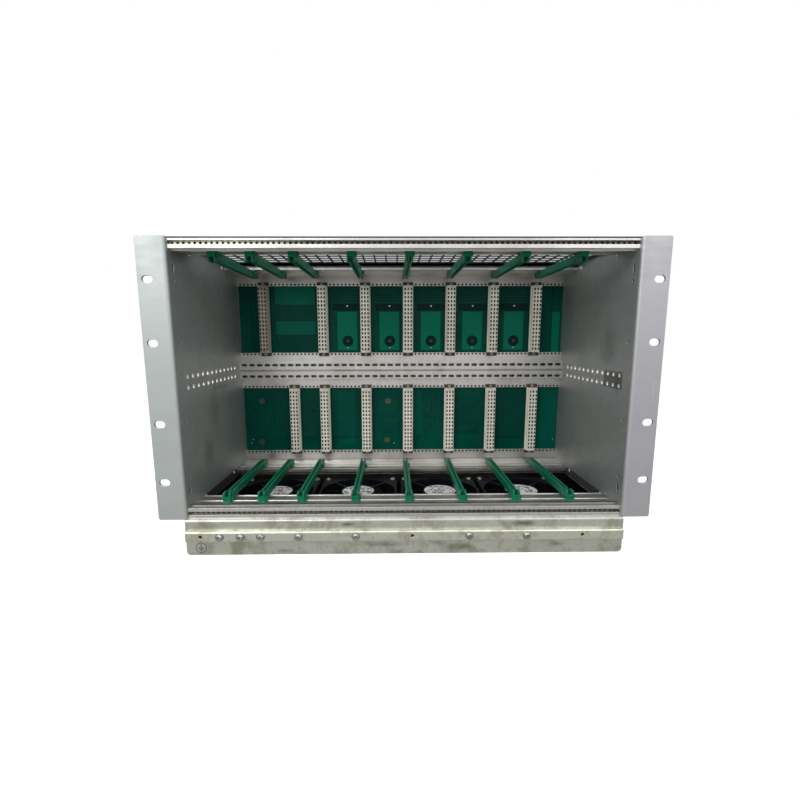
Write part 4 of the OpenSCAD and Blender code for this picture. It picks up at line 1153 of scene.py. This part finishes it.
@dataclass
class BoardPrint:
    """Copper areas, conductors, pads and holes on the front of the two boards."""

    finishes: FinishSet
    area_proud: float = 0.06
    line_proud: float = 0.10
    pad_proud: float = 0.16
    bays: tuple[float, ...] = (-71.5, -15.7, 39.3, 94.4, 149.6)
    bay_field: Area = (-13.5, 159.8, 12.5, 210.0)
    bay_band: Area = (-19.0, 211.5, 19.0, 220.5)
    bay_lines: tuple[float, ...] = (224.5, 227.7, 230.9)
    hole_height: float = 171.8
    hole_radii: Triple = (7.2, 2.2, 0.9)
    bay_pins: tuple[Triple, ...] = ((-0.2, 217.4, 1.1), (0.0, 163.0, 0.8))
    left_fields: tuple[Area, ...] = ((-166.0, 180.4, -114.0, 198.0), (-166.0, 219.2, -114.0, 242.5))
    left_lines: Triple = (198.3, 218.9, 180.0)
    right_field: Area = (200.5, 157.0, 210.5, 209.5)
    solder_pads: tuple[Pair, ...] = (
        (-189.8, 91.5),
        (-192.6, 34.5),
        (-18.6, 90.8),
        (-20.3, 36.4),
    )
    rings: tuple[Triple, ...] = (
        (-201.3, 77.8, 2.0),
        (-162.8, 56.8, 2.6),
        (-120.4, 77.5, 2.4),
        (-11.9, 70.0, 2.2),
    )
    pins: tuple[Pair, ...] = ((-10.7, 32.1), (209.5, 36.6), (-204.0, 38.0), (-206.5, 33.0))
    soft_fields: tuple[Area, ...] = (
        (-88.0, 30.0, -64.0, 104.0),
        (14.0, 44.0, 27.0, 105.0),
        (184.5, 24.0, 212.0, 108.0),
    )

    def upper(self) -> None:
        """Draws the upper board: a copper field with a round hole in each bay, the hole's inside as painted
        shade.
        """
        f = self.finishes
        sheet = SheetBuilder("board_print_upper")
        face = UprightFace(sheet, PLACES.board_front)
        areas = (f.copper_area, f.mid_area, f.dark_area)
        copper, middle, band = (Coat(self.area_proud, material) for material in areas)
        dark, pin = Coat(self.line_proud, f.dark_area), Coat(self.pad_proud, f.pin)
        outer, inner, core = self.hole_radii
        for x in self.bays:
            for (left, low, right, high), coat in ((self.bay_field, copper), (self.bay_band, band)):
                face.box(x + left, low, x + right, high, coat)
            for z in self.bay_lines:
                face.level(x + self.bay_band[0], x + self.bay_band[2], z, 0.5, dark)
            face.ring(x, self.hole_height, outer, inner, dark)
            # Painted shade inside the hole.
            face.disc(x, self.hole_height, inner, Coat(self.line_proud, f.print_and_hole_shade))
            face.disc(x, self.hole_height, core, Coat(self.pad_proud, f.pad), SMALL_SIDES)
            for shift, z, radius in self.bay_pins:
                face.disc(x + shift, z, radius, pin, SMALL_SIDES)
        for area in self.left_fields:
            face.box(*area, middle)
        for z in self.left_lines:
            face.level(-168.0, -114.0, z, 0.6, dark)
        face.box(*self.right_field, copper)
        face.upright(199.5, 157.0, 242.0, 0.6, dark)
        face.upright(-198.0, 157.0, 242.0, 0.7, dark)
        sheet.finish("cage")

    def lower(self) -> None:
        """Draws the lower board: solder pads, rings, conductors and faint outlines."""
        f = self.finishes
        sheet = SheetBuilder("board_print_lower")
        face = UprightFace(sheet, PLACES.board_front)
        dark = Coat(self.line_proud, f.dark_area)
        for x, z in self.solder_pads:
            face.ring(x, z, 4.0, 1.6, Coat(self.pad_proud, f.pad))
            face.disc(x, z, 1.6, Coat(self.line_proud, f.pad), 20)
        for x, z, radius in self.rings:
            face.ring(x, z, radius, radius * 0.62, dark)
        for x, z in self.pins:
            face.disc(x, z, 1.0, Coat(self.pad_proud, f.pin), 12)
        face.frame(41.0, 47.6, 45.7, 103.5, 0.5, dark)
        for k in range(5):
            z = 49.0 + 5.6 * k
            face.line([(29.5, z), (37.5, z), (37.5, z + 2.8), (31.5, z + 2.8)], 0.6, dark)
        face.frame(76.4, 48.6, 102.5, 58.8, 0.5, dark)
        for z in (45.5, 47.3):
            face.level(72.0, 107.0, z, 0.45, dark)
            face.level(127.0, 163.0, z - 6.5, 0.45, dark)
        for z in (39.5, 41.2):
            face.level(-134.0, -57.0, z, 0.45, dark)
        for k in range(6):
            face.level(-32.0, -3.0, 47.0 + 2.6 * k, 0.4, dark)
        for area in self.soft_fields:
            face.box(*area, Coat(self.area_proud, f.soft_area))
        face.upright(-174.0, 60.0, 96.0, 0.5, dark)
        sheet.finish("cage")


@dataclass
class FanPlates:
    """The pale round plate on each fan's fixed hub, with rows of small bars as print."""

    finishes: FinishSet
    radius: float = 19.7
    thickness: float = 0.32
    seat: float = 0.4
    sides: int = 48
    seed: int = 11
    rows: int = 6
    first_row: float = -12.5
    row_pitch: float = 5.0
    margin: float = 2.5
    bar_length: Pair = (1.6, 6.0)
    bar_width: Pair = (1.6, 3.4)
    bar_gap: Pair = (0.6, 1.6)
    bar_height: float = 0.04
    bar_share: float = 0.72
    row_end: float = 1.5

    def build(self) -> None:
        """Makes the plates and their print as one piece."""
        rng = random.Random(self.seed)
        sheet = SheetBuilder("fan_plates")
        top = PLACES.fan_top - self.seat
        for x in PLACES.fan_places:
            rim = [PLACES.point(x + a, PLACES.fan_depth + b, top) for a, b in circle(self.radius, self.sides)]
            sheet.prism(rim, Vector((0, 0, self.thickness / MM)), self.finishes.plate)
            for row in range(self.rows):
                self._print_row(sheet, rng, x, self.first_row + self.row_pitch * row, top + self.thickness)
        sheet.finish("cage")

    def _print_row(self, sheet: SheetBuilder, rng: random.Random, x: float, y: float, z: float) -> None:
        """Adds one row of small bars.

        Args:
            sheet: the mesh that takes them.
            rng: the random numbers.
            x: the plate's middle.
            y: the row's distance from the plate's middle.
            z: the plate's upper face.
        """
        reach = math.sqrt(max(0.0, (self.radius - self.margin) ** 2 - y * y))
        cursor = -reach
        while cursor < reach - self.row_end:
            stop = min(cursor + rng.uniform(*self.bar_length), reach)
            if rng.random() < self.bar_share:
                middle = PLACES.fan_depth + y
                half = rng.uniform(*self.bar_width) / 2
                low, high = (x + cursor, middle - half), (x + stop, middle + half)
                ends = (low, (high[0], low[1]), high, (low[0], high[1]))
                corners = [PLACES.point(a, b, z) for a, b in ends]
                sheet.prism(corners, Vector((0, 0, self.bar_height / MM)), self.finishes.print_and_hole_shade)
            cursor = stop + rng.uniform(*self.bar_gap)


@dataclass
class EarthMark:
    """The round earth symbol on the tray's front."""

    finishes: FinishSet
    x: float = -202.0
    z: float = -29.3
    radius: float = 5.4
    width: float = 0.7
    stem: Pair = (0.1, 3.9)
    bars: tuple[float, ...] = (3.0, 1.9, 0.9)
    first_bar: float = 0.3
    bar_pitch: float = 1.3
    proud: float = 0.06

    def build(self) -> None:
        """Makes the ring, the stem and the three bars."""
        sheet = SheetBuilder("earth_mark")
        face = UprightFace(sheet, 0.0)
        print_and_hole_shade = Coat(self.proud, self.finishes.mark)
        face.ring(self.x, self.z, self.radius, self.radius - self.width, print_and_hole_shade)
        low, high = (self.z + end for end in self.stem)
        face.box(self.x - self.width / 2, low, self.x + self.width / 2, high, print_and_hole_shade)
        for k, half in enumerate(self.bars):
            z = self.z - self.first_bar - self.bar_pitch * k
            face.box(self.x - half, z - self.width / 2, self.x + half, z + self.width / 2, print_and_hole_shade)
        sheet.finish("cage")


# ---------------------------------------------------------------- stage


@dataclass(frozen=True)
class Lamp:
    """One square area lamp: its place and side in metres and its power in watts."""

    name: str
    place: Triple
    power: float
    size: float

    def build(self, aim: Triple) -> None:
        """Makes the lamp, looking at a point."""
        data = bpy.data.lights.new(self.name, "AREA")
        data.energy = self.power
        data.size = self.size
        lamp = add_object(self.name, data)
        lamp.location = self.place
        lamp.rotation_euler = (Vector(aim) - Vector(self.place)).to_track_quat("-Z", "Y").to_euler()


@dataclass
class Stage:
    """The pale floor, the white surroundings and the soft lamps."""

    floor_size: float = 12.0
    floor_glow: float = 0.56
    floor_shade: float = 0.5
    floor_white: float = 0.93
    floor_roughness: float = 0.95
    ambient: float = 0.50
    aim: Triple = (0.0, 0.0, 0.15)
    lamps: tuple[Lamp, ...] = (
        Lamp("key", (-0.6, -0.95, 0.85), 6.8, 0.6),
        Lamp("fill", (0.75, -1.0, 0.9), 3.2, 0.6),
        Lamp("top", (0.0, -0.5, 1.6), 6.0, 1.4),
    )

    def build(self) -> None:
        """Makes the floor, the world and the lamps."""
        self._floor()
        self._world()
        for lamp in self.lamps:
            lamp.build(self.aim)

    def _floor(self) -> None:
        """Makes the floor, which shows white to the camera and keeps the shadow."""
        half = self.floor_size / 2
        corners = [(-half, -half, 0), (half, -half, 0), (half, half, 0), (-half, half, 0)]
        mesh = bpy.data.meshes.new("floor")
        mesh.from_pydata(corners, [], [(0, 1, 2, 3)])
        floor = add_object("floor", mesh)
        s = Surface("floor_white")
        seen = s.add("ShaderNodeLightPath").outputs["Is Camera Ray"]
        shade = (self.floor_shade, self.floor_shade, self.floor_shade * 0.97)
        colour = s.blend(seen, shade, (self.floor_white,) * 3)
        values = {"Base Color": colour, "Roughness": self.floor_roughness, "Specular IOR Level": 0.0}
        for key, value in values.items():
            s.put(s.shader.inputs[key], value)
        glow, none = (s.out("ShaderNodeEmission", {"Strength": x}) for x in (self.floor_glow, 0.0))
        switch = s.out("ShaderNodeMixShader", {0: seen, 1: none, 2: glow})
        both = s.out("ShaderNodeAddShader", {0: s.shader.outputs[0], 1: switch})
        out = next(n for n in s.tree.nodes if n.type == "OUTPUT_MATERIAL")
        s.put(out.inputs["Surface"], both)
        mesh.materials.append(s.material)

    def _world(self) -> None:
        """Makes the surroundings: white to the camera and in reflections, softer as light."""
        world = bpy.data.worlds.new("surroundings")
        world.use_nodes = True
        world.node_tree.nodes.clear()
        g = Graph(world.node_tree)
        path = g.add("ShaderNodeLightPath").outputs
        seen = g.calc("MAXIMUM", path["Is Camera Ray"], path["Is Glossy Ray"])
        seen = g.calc("MAXIMUM", seen, path["Is Transmission Ray"])
        white = g.out("ShaderNodeBackground", {"Color": (1, 1, 1, 1), "Strength": 1.0})
        soft = g.out("ShaderNodeBackground", {"Color": (0.98, 0.99, 1.0, 1), "Strength": self.ambient})
        mix = g.out("ShaderNodeMixShader", {0: seen, 1: soft, 2: white})
        g.add("ShaderNodeOutputWorld", {"Surface": mix})
        bpy.context.scene.world = world


@dataclass
class ViewCamera:
    """The camera, a little above the cage's middle, to its left and looking down."""

    x: float = -11.55
    y: float = -410.0
    z: float = 174.9
    pitch: float = 8.79
    yaw: float = 0.70
    roll: float = 0.138
    focal: float = 438.5
    centre_x: float = 398.5
    centre_y: float = 406.4
    frame: float = 800.0
    sensor: float = 36.0
    near: float = 0.02
    far: float = 60.0

    def build(self) -> None:
        """Makes the scene's camera."""
        data = bpy.data.cameras.new("camera")
        data.sensor_width = self.sensor
        data.lens = self.focal / self.frame * self.sensor
        data.shift_x = (self.frame / 2 - self.centre_x) / self.frame
        data.shift_y = (self.centre_y - self.frame / 2) / self.frame
        data.clip_start = self.near
        data.clip_end = self.far
        camera = add_object("camera", data)
        pitch, yaw, roll = (math.radians(a) for a in (self.pitch, self.yaw, self.roll))
        ahead = Vector((math.sin(yaw) * math.cos(pitch), math.cos(yaw) * math.cos(pitch), -math.sin(pitch)))
        right = Vector((math.cos(yaw), -math.sin(yaw), 0))
        up = right.cross(ahead)
        turned_right = right * math.cos(roll) - up * math.sin(roll)
        turned_up = right * math.sin(roll) + up * math.cos(roll)
        turn = Matrix((turned_right, turned_up, -ahead)).transposed()
        camera.matrix_world = Matrix.Translation(PLACES.point(self.x, self.y, self.z)) @ turn.to_4x4()
        bpy.context.scene.camera = camera


def corners(box: tuple[Vector, Vector]) -> list[list[float]]:
    """Turns a box's two corners into plain lists."""
    return [list(box[0]), list(box[1])]


def main() -> None:
    """Builds the finishes, the added pieces, the stage and the camera."""
    logging.basicConfig(level=logging.INFO, format="%(message)s")
    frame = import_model()
    finishes = FinishSet(Effects())
    CadFinishes(finishes).dress(frame["nodes"])
    Contacts(finishes).build()
    FlangeShades(finishes).build()
    PanelHoleShadeFill(finishes).build()
    print_on_boards = BoardPrint(finishes)
    print_on_boards.upper()
    print_on_boards.lower()
    FanPlates(finishes).build()
    EarthMark(finishes).build()
    Stage().build()
    ViewCamera().build()
    bpy.context.scene.view_settings.view_transform = "Standard"


if __name__ == "__main__":
    main()
